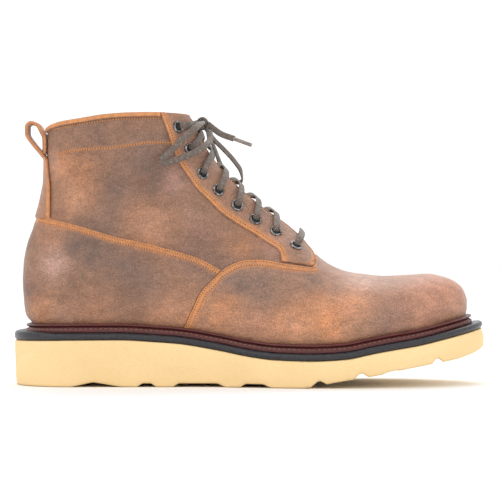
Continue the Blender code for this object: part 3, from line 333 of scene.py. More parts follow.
def add_mesh(name, points, faces, finishes, sharp=50):
    """One named object from points and faces, smooth but for its sharp edges."""
    mesh = bpy.data.meshes.new(name)
    mesh.from_pydata(np.asarray(points, float).tolist(), [], faces)
    mesh.update()
    for finish in finishes:
        mesh.materials.append(finish)
    mesh.shade_smooth()
    mesh.set_sharp_from_angle(angle=math.radians(sharp))
    return add_object(name, mesh)


def ring_faces(rows, around, closed=False):
    """The faces between rows of points that each go round, and back to the first row if closed."""
    faces = []
    for k in range(rows if closed else rows - 1):
        near, far = k * around, (k + 1) % rows * around
        for i in range(around):
            after = (i + 1) % around
            faces.append([near + i, near + after, far + after, far + i])
    return faces


def sole_rings(name, layers, finish):
    """A closed sheet from rings, top first. Each ring is (outer side points, inner side points)."""
    count = len(layers[0][0])
    points = np.concatenate([np.concatenate([low, high[1:-1][::-1]]) for low, high in layers])
    around = 2 * count - 2
    faces = [[a, d, c, b] for a, b, c, d in ring_faces(len(layers), around)]
    bottom = (len(layers) - 1) * around
    for i in range(count - 1):
        far, far_next = (around - i) % around, around - i - 1
        ring = list(dict.fromkeys([i, i + 1, far_next, far]))
        faces.append(ring)
        faces.append([bottom + v for v in reversed(ring)])
    return add_mesh(name, points, faces, [finish])


def sole_ring(turns, inset, height):
    """One ring of a sole sheet: the plan moved in by inset, at heights that follow its length."""
    low = inset_plan(turns, outer, inset)
    high = inset_plan(turns, inner, inset)
    low = np.column_stack([low, height(np.clip(share(low[:, 0]), 0, 1))])
    high = np.column_stack([high, height(np.clip(share(high[:, 0]), 0, 1))])
    return low, high


cream_rubber, tree, shader = nodes_of("cream_rubber")
where = object_place(tree)
cloud = ranged(tree, noise_at(tree, where, 28.0), 0.3, 0.7)
crumb = ranged(tree, noise_at(tree, where, 1500.0, 2.0), 0.35, 0.7)
sanding = noise_at(tree, stretched(tree, where, (1.0, 1.0, 7.0)), 420.0, 3.0)
colour = blended(tree, cloud, (0.82, 0.590, 0.295), (0.88, 0.650, 0.340))
colour = blended(tree, ranged(tree, crumb, 0.6, 1.0, 0.0, 0.35), colour, (0.70, 0.44, 0.20))
feed(tree, shader, {
    "Base Color": colour, "Roughness": ranged(tree, sanding, 0.3, 0.7, 0.62, 0.82),
    "Normal": raised(tree, sanding, 0.00022, raised(tree, crumb, 0.00008)), "Specular IOR Level": 0.3})

groove_breaks = {round(place, 6) for groove in tread_grooves for place in groove[:4]}
sole_stations = (1 - np.cos(np.linspace(0, math.pi, 260))) / 2
sole_stations = np.array(sorted(groove_breaks | {float(round(place, 6)) for place in sole_stations}))
sole_stations = sole_stations[np.concatenate([[True], np.diff(sole_stations) > 1e-5])]
sole_stations[0], sole_stations[-1] = 0.0, 1.0
# Columns: height line, offset from it, inset at the heel, inset at the toe
outsole_profile = [
    (deck, 0.0000, 0.0016, 0.0031), (deck, -0.0001, 0.0009, 0.0024), (deck, -0.0004, 0.0004, 0.0019),
    (deck, -0.0009, 0.0002, 0.0017), (deck, -0.0030, 0.0001, 0.0013), (spring, 0.0072, 0.0007, 0.0003),
    (spring, 0.0060, 0.0008, 0.0004), (tread, 0.0016, 0.0011, 0.0006), (tread, 0.0008, 0.0014, 0.0009),
    (tread, 0.0003, 0.0021, 0.0017), (tread, 0.0000, 0.0035, 0.0031)]
sole_layers = []
for line, offset, heel_in, toe_in in outsole_profile:
    inset = heel_in + (toe_in - heel_in) * sole_stations
    low, high = sole_ring(turn_at(sole_stations), inset, line)
    for edge in (low, high):
        edge[:, 2] += offset
    sole_layers.append((low, high))
outsole = sole_rings("wedge_outsole", sole_layers, cream_rubber)
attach(outsole, "root")
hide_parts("outsole")

# Midsole
# A thin sheet of dark rubber between the welt and the wedge, with its edge burnished round. Cement and
# the welt's stitches hold it, and at the back of the heel its edge stands up a little.
shelf_heel = 0.0071
shelf_side = 0.0046
shelf_toe = 0.0081
welt_ledge = 0.0060
midsole_thick = 0.0043
welt_thick = 0.0020
ridge_height = 0.0036
welt_tuck = 0.0060
fit = 0.0003


def feather_inset(along):
    """How far the upper's foot lies inside the outsole's plan."""
    shelf = smooth_line([(0.0, shelf_heel), (0.2, shelf_side), (0.8, shelf_side), (1.0, shelf_toe)])
    return shelf(along) + welt_ledge


# Heights of the stack over the deck
midsole_base = fit
midsole_top = midsole_base + midsole_thick
welt_base = midsole_top + fit
welt_top = welt_base + welt_thick
ridge_top = welt_top + ridge_height
upper_foot = welt_top + fit

feather_turns = np.linspace(0, math.pi, 361)
feather_outer = inset_plan(feather_turns, outer, feather_inset(share(plan_point(feather_turns, outer)[:, 0])))
feather_inner = inset_plan(feather_turns, inner, feather_inset(share(plan_point(feather_turns, inner)[:, 0])))
feather_heel = feather_outer[0, 0]
feather_toe = feather_outer[-1, 0]
feather_length = feather_toe - feather_heel


def feather(x):
    """The middle and half width of the upper's foot at x, in plan."""
    low = np.interp(x, feather_outer[:, 0], feather_outer[:, 1])
    high = np.interp(x, feather_inner[:, 0], feather_inner[:, 1])
    return (low + high) / 2, (high - low) / 2


dark_rubber, tree, shader = nodes_of("dark_rubber")
where = object_place(tree)
rubbed = noise_at(tree, stretched(tree, where, (1.0, 1.0, 6.0)), 420.0)
colour = blended(tree, ranged(tree, rubbed, 0.35, 0.7), (0.014, 0.014, 0.018), (0.040, 0.039, 0.046))
feed(tree, shader, {"Base Color": colour, "Roughness": ranged(tree, rubbed, 0.3, 0.7, 0.24, 0.42),
                    "Normal": raised(tree, rubbed, 0.00025), "Specular IOR Level": 0.4})

sheet_turns = np.linspace(0, math.pi, 240)
# Columns: height over the deck, inset at the heel, inset at the toe
midsole_profile = [
    (midsole_top, 0.0058, 0.0046), (midsole_top, 0.0040, 0.0034), (midsole_top - 0.0001, 0.0022, 0.0027),
    (midsole_top - 0.0005, 0.0010, 0.0020), (midsole_top - 0.0012, 0.0002, 0.0015),
    (midsole_top - 0.0021, -0.0001, 0.0013),
    (midsole_base + 0.0012, 0.0001, 0.0015), (midsole_base + 0.0004, 0.0006, 0.0020),
    (midsole_base, 0.0012, 0.0026)]
# How much of the heel's lip each row of the profile takes
lip_rows = (0.0, 1.0, 1.0, 1.0, 0.9, 0.7, 0.0, 0.0, 0.0)
heel_lip = 0.0017
sole_layers = []
for (offset, heel_in, toe_in), lip in zip(midsole_profile, lip_rows):
    inset = heel_in + (toe_in - heel_in) * share(plan_point(sheet_turns, outer)[:, 0])
    low, high = sole_ring(sheet_turns, inset, deck)
    for line in (low, high):
        line[:, 2] += offset + heel_lip * lip * (1 - ease(share(line[:, 0]), 0.02, 0.11))
    sole_layers.append((low, high))
midsole = sole_rings("rubber_midsole", sole_layers, dark_rubber)
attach(midsole, "root")
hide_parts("midsole")

# Stitching thread
# Waxed thread in even lock stitches. Every seam of the boot is made of the same stitch: a short fat
# dash that dips into a pinhole at each end.
def thread_material(name, colour_low, colour_high):
    """Twisted waxed thread."""
    finish, tree, shader = nodes_of(name)
    where = object_place(tree)
    twist = noise_at(tree, where, 2600.0, 2.0)
    colour = blended(tree, ranged(tree, twist, 0.35, 0.65), colour_low, colour_high)
    feed(tree, shader, {"Base Color": colour, "Normal": raised(tree, twist, 0.00006), "Roughness": 0.6})
    return finish


# The pinholes are dark brown shapes at both ends of each stitch: painted shade inside the holes.
pinhole_shade, tree, shader = nodes_of("pinhole_shade")
colour = blended(tree, noise_at(tree, object_place(tree), 900.0), (0.10, 0.036, 0.014), (0.20, 0.07, 0.026))
feed(tree, shader, {"Base Color": colour, "Roughness": 0.9})


def shape_tree(name, sizes, finishes):
    """A node tree from one shape to another, with named sizes and finishes, and its two ends."""
    tree = bpy.data.node_groups.new(name, "GeometryNodeTree")
    kinds = {"Geometry": "Geometry", **dict.fromkeys(sizes, "Float"), **dict.fromkeys(finishes, "Material")}
    for label, kind in kinds.items():
        tree.interface.new_socket(label, in_out="INPUT", socket_type="NodeSocket" + kind)
    tree.interface.new_socket("Geometry", in_out="OUTPUT", socket_type="NodeSocketGeometry")
    return tree, add_node(tree, "NodeGroupInput").outputs, add_node(tree, "NodeGroupOutput")


def coated(tree, shape, finish):
    """A shape with its material."""
    return add_node(tree, "GeometryNodeSetMaterial", {"Geometry": shape, "Material": finish}).outputs[0]


def set_on(tree, spots, shape, turns):
    """Copies of a shape set on points and made real."""
    sockets = {"Points": spots, "Instance": shape, "Rotation": turns}
    copies = add_node(tree, "GeometryNodeInstanceOnPoints", sockets)
    return add_node(tree, "GeometryNodeRealizeInstances", {"Geometry": copies.outputs[0]}).outputs[0]


def together(tree, shapes):
    """Several shapes in one."""
    both = add_node(tree, "GeometryNodeJoinGeometry")
    for shape in shapes:
        feed(tree, both, {"Geometry": shape})
    return both.outputs[0]


def stitch_tree():
    """The nodes that set stitches and pinholes along every edge of a mesh of lines."""
    sizes = ("Pitch", "Stitch length", "Thread radius", "Pinhole radius")
    tree, start, end = shape_tree("stitches", sizes, ("Thread", "Pinhole"))
    curve = add_node(tree, "GeometryNodeMeshToCurve", {"Mesh": start["Geometry"]})
    sockets = {"Curve": curve.outputs["Curve"], "Length": start["Pitch"]}
    spots = add_node(tree, "GeometryNodeCurveToPoints", sockets, mode="LENGTH")
    parts = []
    # Columns: radius, length, half the length as a share of it, shift as a share of the pitch, finish, rings
    for radius, length, half_of, shift, finish, rings_of in (
            ("Thread radius", "Stitch length", 0.5, 0.0, "Thread", 5),
            ("Pinhole radius", "Pitch", 0.24, 0.5, "Pinhole", 4)):
        ball = add_node(tree, "GeometryNodeMeshUVSphere", {"Segments": 7, "Rings": rings_of, "Radius": 1.0})
        sockets = {"X": start[radius], "Y": start[radius], "Z": product(tree, start[length], half_of)}
        size = add_node(tree, "ShaderNodeCombineXYZ", sockets)
        step = add_node(tree, "ShaderNodeCombineXYZ", {"Z": product(tree, start["Pitch"], shift)})
        sockets = {"Geometry": ball.outputs["Mesh"], "Scale": size.outputs[0], "Translation": step.outputs[0]}
        shaped = add_node(tree, "GeometryNodeTransform", sockets)
        copies = set_on(tree, spots.outputs["Points"], shaped.outputs[0], spots.outputs["Rotation"])
        parts.append(coated(tree, copies, start[finish]))
    feed(tree, end, {"Geometry": together(tree, parts)})
    return tree


stitches = stitch_tree()


def settled(name, source, group, values):
    """The mesh that a node tree makes of a source object, as an object of its own."""
    grow = source.modifiers.new("grow", "NODES")
    grow.node_group = group
    for item in group.interface.items_tree:
        if item.item_type == "SOCKET" and item.in_out == "INPUT" and item.name in values:
            grow[item.identifier] = values[item.name]
    bpy.context.view_layer.update()
    mesh = bpy.data.meshes.new_from_object(source.evaluated_get(bpy.context.evaluated_depsgraph_get()))
    source.modifiers.remove(grow)
    mesh.name = name
    bpy.data.objects.remove(source)
    mesh.shade_smooth()
    return add_object(name, mesh)


def sew(name, lines, pitch, length, radius, hole, thread):
    """Stitches along lines of points."""
    points = np.concatenate(lines)
    edges, first = [], 0
    for line in lines:
        edges += [(first + k, first + k + 1) for k in range(len(line) - 1)]
        first += len(line)
    mesh = bpy.data.meshes.new(name + "_path")
    mesh.from_pydata(points.tolist(), edges, [])
    source = add_object(name + "_path", mesh)
    values = {"Pitch": pitch, "Stitch length": length, "Thread radius": radius, "Pinhole radius": hole,
              "Thread": thread, "Pinhole": pinhole_shade}
    piece = settled(name, source, stitches, values)
    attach(piece, "root")
    return piece


# Upper
# Nubuck leather, oiled and brushed, over a soft leather lining. The quarters meet at the back and
# carry every overlay, so the whole upper is drawn from one surface over the last.
shaft_height = 0.1457
toe_box_height = 0.0419
shaft_width = 0.075
ankle_width = 0.068
upper_wall = 0.0020
overlay_thick = 0.0013
counter_thick = 0.0009
throat_gap_top = 0.020
throat_gap_end = 0.013
throat_round = 0.008
curved_fit = 0.00045
overlay_fit = 0.0009
quarter_outside = -0.0015
upper_inside = -(overlay_thick + overlay_fit + upper_wall)


def upper_height(rise):
    """A height given as a share of the shaft's height over the heel's deck."""
    return heel_height + rise * shaft_height


# Back line of the upper. Columns: share of the shaft's height, x as a share of the half length.
back_rows = [
    (0.045, -0.9140), (0.079, -0.9357), (0.099, -0.9528), (0.135, -0.9613), (0.183, -0.9652),
    (0.259, -0.9698), (0.348, -0.9652), (0.417, -0.9528), (0.492, -0.9272), (0.561, -0.9049),
    (0.629, -0.8885), (0.705, -0.8761), (0.897, -0.8721), (1.050, -0.8690)]
back_line = smooth_line([(upper_height(rise), x * half_length) for rise, x in back_rows])

# Ridge of the upper from the toe up to the collar. Columns: x as a share of the half length,
# height as a share of the toe box or of the shaft, and which of the two.
ridge_rows = [
    (0.9272, 0.580, toe_box_height), (0.9180, 0.695, toe_box_height), (0.9049, 0.785, toe_box_height),
    (0.8787, 0.870, toe_box_height), (0.8262, 0.952, toe_box_height), (0.7541, 1.000, toe_box_height),
    (0.6754, 0.980, toe_box_height), (0.5770, 0.965, toe_box_height), (0.4721, 1.000, toe_box_height),
    (0.4197, 0.296, shaft_height), (0.3672, 0.315, shaft_height), (0.3148, 0.345, shaft_height),
    (0.2623, 0.397, shaft_height), (0.1967, 0.480, shaft_height), (0.1311, 0.531, shaft_height),
    (0.0590, 0.590, shaft_height), (-0.0197, 0.658, shaft_height), (-0.0852, 0.723, shaft_height),
    (-0.1443, 0.789, shaft_height), (-0.1836, 0.861, shaft_height), (-0.2230, 0.933, shaft_height),
    (-0.2525, 1.008, shaft_height), (-0.2754, 1.089, shaft_height)]
ridge_points = [(x * half_length, heel_height + rise * of) for x, rise, of in ridge_rows]
ridge_line = smooth_line(ridge_points[::-1])
front_points = ridge_points[11:]
front_line = smooth_line([(height, x) for x, height in front_points])
toe_end_x = ridge_points[0][0]
toe_end_z = ridge_points[0][1]
toe_flare = 0.0086

# Shaft. Columns: share of the shaft's height, half width, widest place as a share of the depth.
shaft_rows = [
    (0.20, 0.470 * ankle_width, 0.34), (0.45, 0.500 * ankle_width, 0.36),
    (0.62, 0.495 * ankle_width, 0.42), (0.80, 0.480 * shaft_width, 0.48),
    (1.05, 0.500 * shaft_width, 0.50)]
shaft_half = smooth_line([(upper_height(row[0]), row[1]) for row in shaft_rows])
shaft_widest = smooth_line([(upper_height(row[0]), row[2]) for row in shaft_rows])
shaft_fullness = 2.2

# Swell of the upper above its foot. Columns: height over the foot as a share of the toe box, swell.
swell = smooth_line([
    (0.0, 0.0), (0.08 * toe_box_height, 0.0024), (0.18 * toe_box_height, 0.0041),
    (0.32 * toe_box_height, 0.0052), (0.60 * toe_box_height, 0.0050), (1.2 * toe_box_height, 0.0036)])
swell_plan = 0.43 * ball_width
vamp_fullness = smooth_line([(-0.3, 2.1), (0.3, 2.15), (0.6, 2.3), (0.93, 2.35)])
shoulder_share = 0.28
# Where the foot part turns into the shaft: its start at the heel and at the ball, and its height
blend_heel, blend_ball, blend_rise = 0.18, 0.38, 0.34


def foot_height(x):
    """The height of the upper's foot at x."""
    return deck(share(x)) + upper_foot


def toe_line(z):
    """The upper's front end at height z, below the ridge."""
    rise = np.clip((z - foot_height(feather_toe)) / toe_flare, 0, 1)
    return feather_toe + (toe_end_x - feather_toe) * (1 - (1 - rise) ** 2)


def half_width(x, z):
    """Half the width of the reference surface at a place of its side view."""
    heel_x = back_line(z)
    place = (x - heel_x) / (toe_line(z) - heel_x)
    plan = feather(feather_heel + place * feather_length)[1]
    foot = foot_height(np.clip(x, feather_heel, feather_toe))
    crown = ridge_line(x)
    shoulder = foot + shoulder_share * (crown - foot)
    fall = np.clip((z - shoulder) / np.maximum(crown - shoulder, 1e-6), 0, 1)
    power = vamp_fullness(x / half_length)
    vault = np.maximum(1 - fall ** power, 0) ** (1 / power)
    foot_part = plan * (1 + swell(z - foot) / swell_plan) * vault
    front_x = np.where(z > front_points[0][1], front_line(z), front_points[0][0] + front_points[0][1] - z)
    depth = front_x - heel_x
    widest = heel_x + shaft_widest(z) * depth
    behind = (widest - x) / (shaft_widest(z) * depth)
    before = (x - widest) / ((1 - shaft_widest(z)) * depth)
    shaft_part = shaft_half(z) * bulge(np.clip(np.maximum(behind, before), 0, 1), shaft_fullness)
    start = upper_height(blend_heel + (blend_ball - blend_heel) * ease(x / half_length, -0.66, 0.33))
    blend = ease(z, start, start + blend_rise * shaft_height)
    return (1 - blend) * foot_part + blend * shaft_part


def middle(x, z):
    """The middle of the reference surface in Y: it follows the plan at the foot, and 0 in the shaft."""
    plan = feather(np.clip(x, feather_heel + 0.002, feather_toe - 0.002))[0]
    return plan * (1 - ease(z, upper_height(0.15), upper_height(0.65)))


def on_upper(x, z, side, lift, seam=None):
    """Points of the reference surface at side view places, moved outwards by lift.

    Where seam is true the point lies on the middle line, where the two sides meet.
    """
    x = np.asarray(x, float)
    z = np.asarray(z, float)
    width = half_width(x, z)
    if seam is not None:
        width = np.where(seam, 0.0, width)
    step = 0.0006
    slope_x = (half_width(x + step, z) ** 2 - half_width(x - step, z) ** 2) / (2 * step)
    slope_z = (half_width(x, z + step) ** 2 - half_width(x, z - step) ** 2) / (2 * step)
    lean_x = (middle(x + step, z) - middle(x - step, z)) / (2 * step)
    lean_z = (middle(x, z + step) - middle(x, z - step)) / (2 * step)
    across = 2 * side * width
    normal = np.stack([-slope_x - across * lean_x, across, -slope_z - across * lean_z], axis=-1)
    point = np.stack([x, middle(x, z) + side * width, z], axis=-1)
    return point + unit(normal) * np.asarray(lift)[..., None]


def inward(path, t):
    """The direction in the side view that points into the boot, square to the ridge path."""
    step = 1e-3
    way = unit(path(np.minimum(t + step, 1)) - path(np.maximum(t - step, 0)))
    return np.stack([-way[..., 1], way[..., 0]], axis=-1)


# The ridge as a path from the end of the throat up to the collar
throat_path = smooth_path([point for point in ridge_points if point[0] < 0.46 * half_length])


def below_ridge(t, width):
    """The side view place beside the ridge where the surface has this half width."""
    t = np.asarray(t, float)
    start = throat_path(t)
    way = inward(throat_path, t)
    deepest = 0.03
    low = np.zeros_like(t)
    high = np.full_like(t, deepest)
    for _ in range(40):
        half = (low + high) / 2
        place = start + way * half[..., None]
        narrow = half_width(place[..., 0], place[..., 1]) < width
        low = np.where(narrow, half, low)
        high = np.where(narrow, high, half)
    return start + way * ((low + high) / 2)[..., None]


def throat_t(x):
    """The place on the throat path whose x is given."""
    places = np.linspace(0, 1, 400)
    return float(np.interp(-x, -throat_path(places)[:, 0], places))


throat_end_x = 0.2770 * half_length
throat_end_t = throat_t(throat_end_x)
throat_top_t = throat_t(-0.2480 * half_length)


def half_gap_at(along):
    """Half the throat's gap at a place on the throat path."""
    t = (along - throat_end_t) / (throat_top_t - throat_end_t)
    return (throat_gap_end + (throat_gap_top - throat_gap_end) * np.clip(t, 0, 1)) / 2


def throat_edge(t):
    """The edge of the throat in the side view, t from 0 at its lower end to 1 at the collar."""
    along = throat_end_t + (throat_top_t - throat_end_t) * np.asarray(t, float)
    from_end = np.linalg.norm(throat_path(along) - throat_path(throat_end_t), axis=-1)
    return below_ridge(along, half_gap_at(along) * bulge(1 - np.minimum(from_end / throat_round, 1), 2.0))


def side_view(rows):
    """Side view places from rows of x as a share of the half length and height as one of the shaft's."""
    return [(x * half_length, upper_height(rise)) for x, rise in rows]


# Top line of the collar. Columns: x as a share of the half length, share of the shaft's height.
collar_path = smooth_path(side_view([
    (-0.8660, 0.936), (-0.8450, 0.9475), (-0.8066, 0.9580), (-0.7080, 0.9720), (-0.6030, 0.9880),
    (-0.4984, 0.9960), (-0.4000, 0.9990), (-0.2980, 1.0000), (-0.2560, 1.0000)]))


def spread(t):
    """Places from 0 to 1 that lie closer together at both ends."""
    return (1 - np.cos(math.pi * np.asarray(t, float))) / 2


def spread_start(t):
    """Places from 0 to 1 that lie closer together at the start."""
    return 1 - np.cos(math.pi / 2 * np.asarray(t, float))


def spread_end(count):
    """Count steps from 0 to 1 that grow shorter towards the end."""
    return np.sin(math.pi / 2 * np.linspace(0, 1, count + 1))


def between(start, end, line):
    """A side view edge: one coordinate runs from start to end with t, and line gives both from it."""
    return lambda t: np.stack(line(start + (end - start) * np.asarray(t, float)), axis=-1)


def feather_edge(x_start, x_end):
    """The upper's foot between two places, as a side view edge."""
    return between(x_start, x_end, lambda x: [x, foot_height(x)])


vamp_corner_x = 0.880 * half_length
toe_rise = np.linspace(0, 1, 9)
toe_foot_z = float(foot_height(feather_toe))
toe_low = [(float(toe_line(z)), float(z)) for z in toe_foot_z + (toe_end_z - toe_foot_z) * toe_rise]
toe_high = [point for point in ridge_points[1:] if point[0] > vamp_corner_x + 0.002]
toe_edge = smooth_path(toe_low + toe_high + [(vamp_corner_x, float(ridge_line(vamp_corner_x)))])


def back_edge(z_start, z_end):
    """The back line between two heights, as a side view edge."""
    return between(z_start, z_end, lambda z: [back_line(z), z])


def ridge_edge(x_start, x_end):
    """The ridge between two places, as a side view edge."""
    return between(x_start, x_end, lambda x: [x, ridge_line(x)])


def fill(bottom, left, top, right):
    """Side view places on a grid whose four borders are given (a Coons patch).

    Each border is (edge, places) where places are its own parameters at the grid lines.
    """
    low = bottom[0](bottom[1])[:, None, :]
    high = top[0](top[1])[:, None, :]
    back = left[0](left[1])[None, :, :]
    front = right[0](right[1])[None, :, :]
    u = (0.5 * np.linspace(0, 1, len(bottom[1])) + 0.5 * bottom[1])[:, None, None]
    v = left[1][None, :, None]
    corners = ((1 - u) * (1 - v) * low[:1] + u * (1 - v) * low[-1:]
               + (1 - u) * v * high[:1] + u * v * high[-1:])
    return (1 - v) * low + v * high + (1 - u) * back + u * front - corners


def fade(distance, reach):
    """1 at no distance, falling smoothly to almost nothing at twice the reach."""
    return np.exp(-(distance / reach) ** 2)


def seam_mask(columns, rows, *strips):
    """Where a grid lies on the middle line, with a True for each of its points there."""
    mask = np.zeros((columns + 1, rows + 1), bool)
    for strip in strips:
        mask[strip] = True
    return mask


# Creases that the foot has walked into the leather. Columns: side view start x, z and end x, z in
# millimetres, height in millimetres (a trough is negative), half width.
creases = [
    (-57, 142, -70, 126, -0.55, 4.5), (-68, 134, -80, 123, 0.40, 5.0), (-84, 124, -62, 110, -0.35, 4.0),
    (-52, 112, -24, 97, 0.30, 4.5), (-104, 118, -92, 100, 0.25, 6.0), (-46, 98, -18, 82, -0.25, 4.0),
    (-118, 66, -92, 56, -0.30, 5.0), (-92, 74, -66, 64, 0.25, 6.0), (52, 66, 38, 44, -0.30, 5.5),
    (36, 62, 22, 42, 0.25, 5.5), (14, 66, -6, 44, -0.25, 6.0), (66, 62, 58, 46, 0.20, 5.0),
    (-20, 62, -34, 46, 0.20, 6.0), (98, 66, 82, 50, 0.18, 7.0)]


def crease_lift(x, z, side):
    """How far the creases raise or sink the leather. They lie a little lower on the inner side."""
    shift = 0.0 if side < 0 else 0.004
    total = np.zeros(np.broadcast(x, z).shape)
    for x_a, z_a, x_b, z_b, height, reach in creases:
        start = np.array([x_a, z_a]) / 1000 - shift
        way = (np.array([x_b, z_b]) - np.array([x_a, z_a])) / 1000
        along = ((x - start[0]) * way[0] + (z - start[1]) * way[1]) / (way @ way)
        t = np.clip(along, 0.0, 1.0)
        far = np.hypot(x - start[0] - t * way[0], z - start[1] - t * way[1])
        total = total + height / 1000 * fade(far, reach / 1000)
    return total


def on_skin(x, z, side, lift, seam=None):
    """Points of the leather's surface: the reference surface with its creases, moved out by lift."""
    return on_upper(x, z, side, np.asarray(lift) + crease_lift(x, z, side), seam)


def far_from(points, line):
    """The distance from each point to a line through other points."""
    flat = points.reshape(-1, 3)
    nearest = np.full(len(flat), 1.0)
    for start, end in zip(line[:-1], line[1:]):
        way = end - start
        t = np.clip((flat - start) @ way / max(float(way @ way), 1e-18), 0, 1)
        nearest = np.minimum(nearest, np.linalg.norm(flat - start - t[:, None] * way, axis=1))
    return nearest.reshape(points.shape[:-1])


def rolled(distance, radius, drop):
    """How far a skived edge rolls down at a distance from it."""
    return drop * (1 - np.sqrt(1 - (1 - np.clip(distance / radius, 0, 1)) ** 2))


# Colour of the oiled leather: worn orange, dull taupe and reddish brown. The inner side has the same
# patches a little elsewhere. Columns: side view x, z in millimetres, reach, orange, taupe, red.
# The reddish patch at -124, 77 is the pink tint of a painted highlight on the counter.
patches_of_colour = [
    (-106, 89, 13, 0.0, 0.9, 0.1), (-78, 80, 14, 0.0, 0.8, 0.1), (-60, 59, 11, 0.0, 0.8, 0.1),
    (-124, 77, 8, 0.0, 0.3, 0.8), (-140, 63, 8, 0.0, 0.1, 0.8), (-134, 48, 9, 0.9, 0.0, 0.0),
    (-50, 48, 14, 0.9, 0.0, 0.1), (-98, 46, 12, 0.5, 0.0, 0.3), (-112, 121, 12, 0.8, 0.0, 0.0),
    (-106, 139, 13, 0.7, 0.0, 0.1), (-122, 141, 10, 0.8, 0.0, 0.1), (-64, 101, 14, 0.9, 0.0, 0.1),
    (-63, 131, 8, 0.0, 0.9, 0.1), (-87, 126, 10, 0.0, 0.8, 0.2), (-63, 146, 12, 0.0, 0.8, 0.2),
    (-100, 152, 14, 0.1, 0.6, 0.3), (-67, 130, 4, 0.2, 0.0, 0.8), (-49, 131, 9, 0.0, 0.3, 0.8),
    (-92, 108, 10, 0.1, 0.6, 0.2), (-5, 89, 9, 0.8, 0.0, 0.1), (-35, 84, 12, 0.0, 0.6, 0.5),
    (-30, 100, 10, 0.1, 0.3, 0.6), (14, 88, 8, 0.1, 0.2, 0.7), (-12, 67, 12, 0.0, 0.8, 0.0),
    (10, 63, 15, 0.0, 0.65, 0.0), (-16, 48, 12, 0.9, 0.0, 0.0), (25, 41, 12, 0.9, 0.0, 0.0),
    (47, 48, 14, 0.85, 0.0, 0.0), (3, 37, 8, 0.3, 0.1, 0.6), (56, 59, 7, 0.0, 0.7, 0.1),
    (41, 67, 10, 0.0, 0.8, 0.0), (66, 54, 8, 0.8, 0.0, 0.1), (72, 66, 11, 0.1, 0.4, 0.4),
    (115, 67, 16, 0.2, 0.0, 0.9), (92, 47, 9, 0.0, 0.5, 0.4), (86, 39, 8, 0.0, 0.5, 0.3),
    (52, 38, 8, 0.8, 0.0, 0.1), (135, 61, 12, 0.4, 0.0, 0.8), (110, 50, 12, 0.3, 0.1, 0.6),
    (20, 110, 20, 0.2, 0.5, 0.1), (-40, 150, 12, 0.2, 0.5, 0.2), (-128, 100, 10, 0.5, 0.1, 0.2)]


# Painted highlights, where the leather is made lighter (above 0), and darker patches (below 0). Columns:
# side view x, z in millimetres, reach, amount.
highlight_and_dark_patches = [
    (-124, 78, 10, 0.9), (-143, 62, 8, -0.9), (-144, 96, 8, -0.6), (-104, 92, 14, -0.5), (-70, 86, 12, -0.4),
    (-63, 131, 10, -0.55), (-90, 128, 9, -0.4), (-80, 60, 12, -0.4), (-50, 48, 10, 0.3), (-64, 101, 12, 0.5),
    (-112, 121, 11, 0.4), (-128, 140, 9, 0.4), (-112, 62, 10, -0.4), (-120, 46, 9, 0.3), (8, 64, 15, -0.3),
    (-14, 66, 9, -0.2), (30, 55, 9, -0.3), (72, 68, 10, 0.4), (66, 54, 9, 0.15), (-49, 131, 9, 0.5),
    (14, 88, 7, 0.35), (-35, 84, 10, -0.4), (92, 46, 10, -0.4), (135, 60, 9, -0.2), (-100, 152, 12, -0.3),
    (-38, 112, 8, 0.3), (120, 48, 9, -0.2), (28, 38, 9, 0.3)]


def highlight_and_dark_of(x, z, side):
    """How much painted highlight (above 0) or darkening (below 0) the leather takes at side view places, from
    -1 to 1.
    """
    x = x * 1000 + (0.0 if side < 0 else -5.0)
    z = z * 1000 + (0.0 if side < 0 else 2.0)
    light = np.zeros(x.shape)
    for x_c, z_c, reach, amount in highlight_and_dark_patches:
        light = light + amount * fade(np.hypot(x - x_c, z - z_c), reach)
    return np.clip(light, -1.0, 1.0)


def tone_of(x, z, side, worn):
    """Orange, taupe, red and worn edge, each from 0 to 1, at side view places."""
    x = x * 1000 + (0.0 if side < 0 else 7.0)
    z = z * 1000 + (0.0 if side < 0 else 3.0)
    tone = np.zeros(x.shape + (4,))
    for x_c, z_c, reach, *amounts in patches_of_colour:
        near = fade(np.hypot(x - x_c, z - z_c), 1.1 * reach)
        tone[..., :3] += near[..., None] * np.array(amounts) * np.array([0.75, 1.0, 1.0])
    tone[..., 3] = worn
    return np.clip(tone, 0.0, 1.0)


def softened(path, rounds):
    """A side view path with its small corners rounded off, and both ends kept."""
    places = np.linspace(0, 1, 241)
    spots = path(places)
    for _ in range(rounds):
        spots[1:-1] = (spots[:-2] + 2 * spots[1:-1] + spots[2:]) / 4
    return lambda t: np.stack([np.interp(t, places, spots[:, k]) for k in (0, 1)], axis=-1)


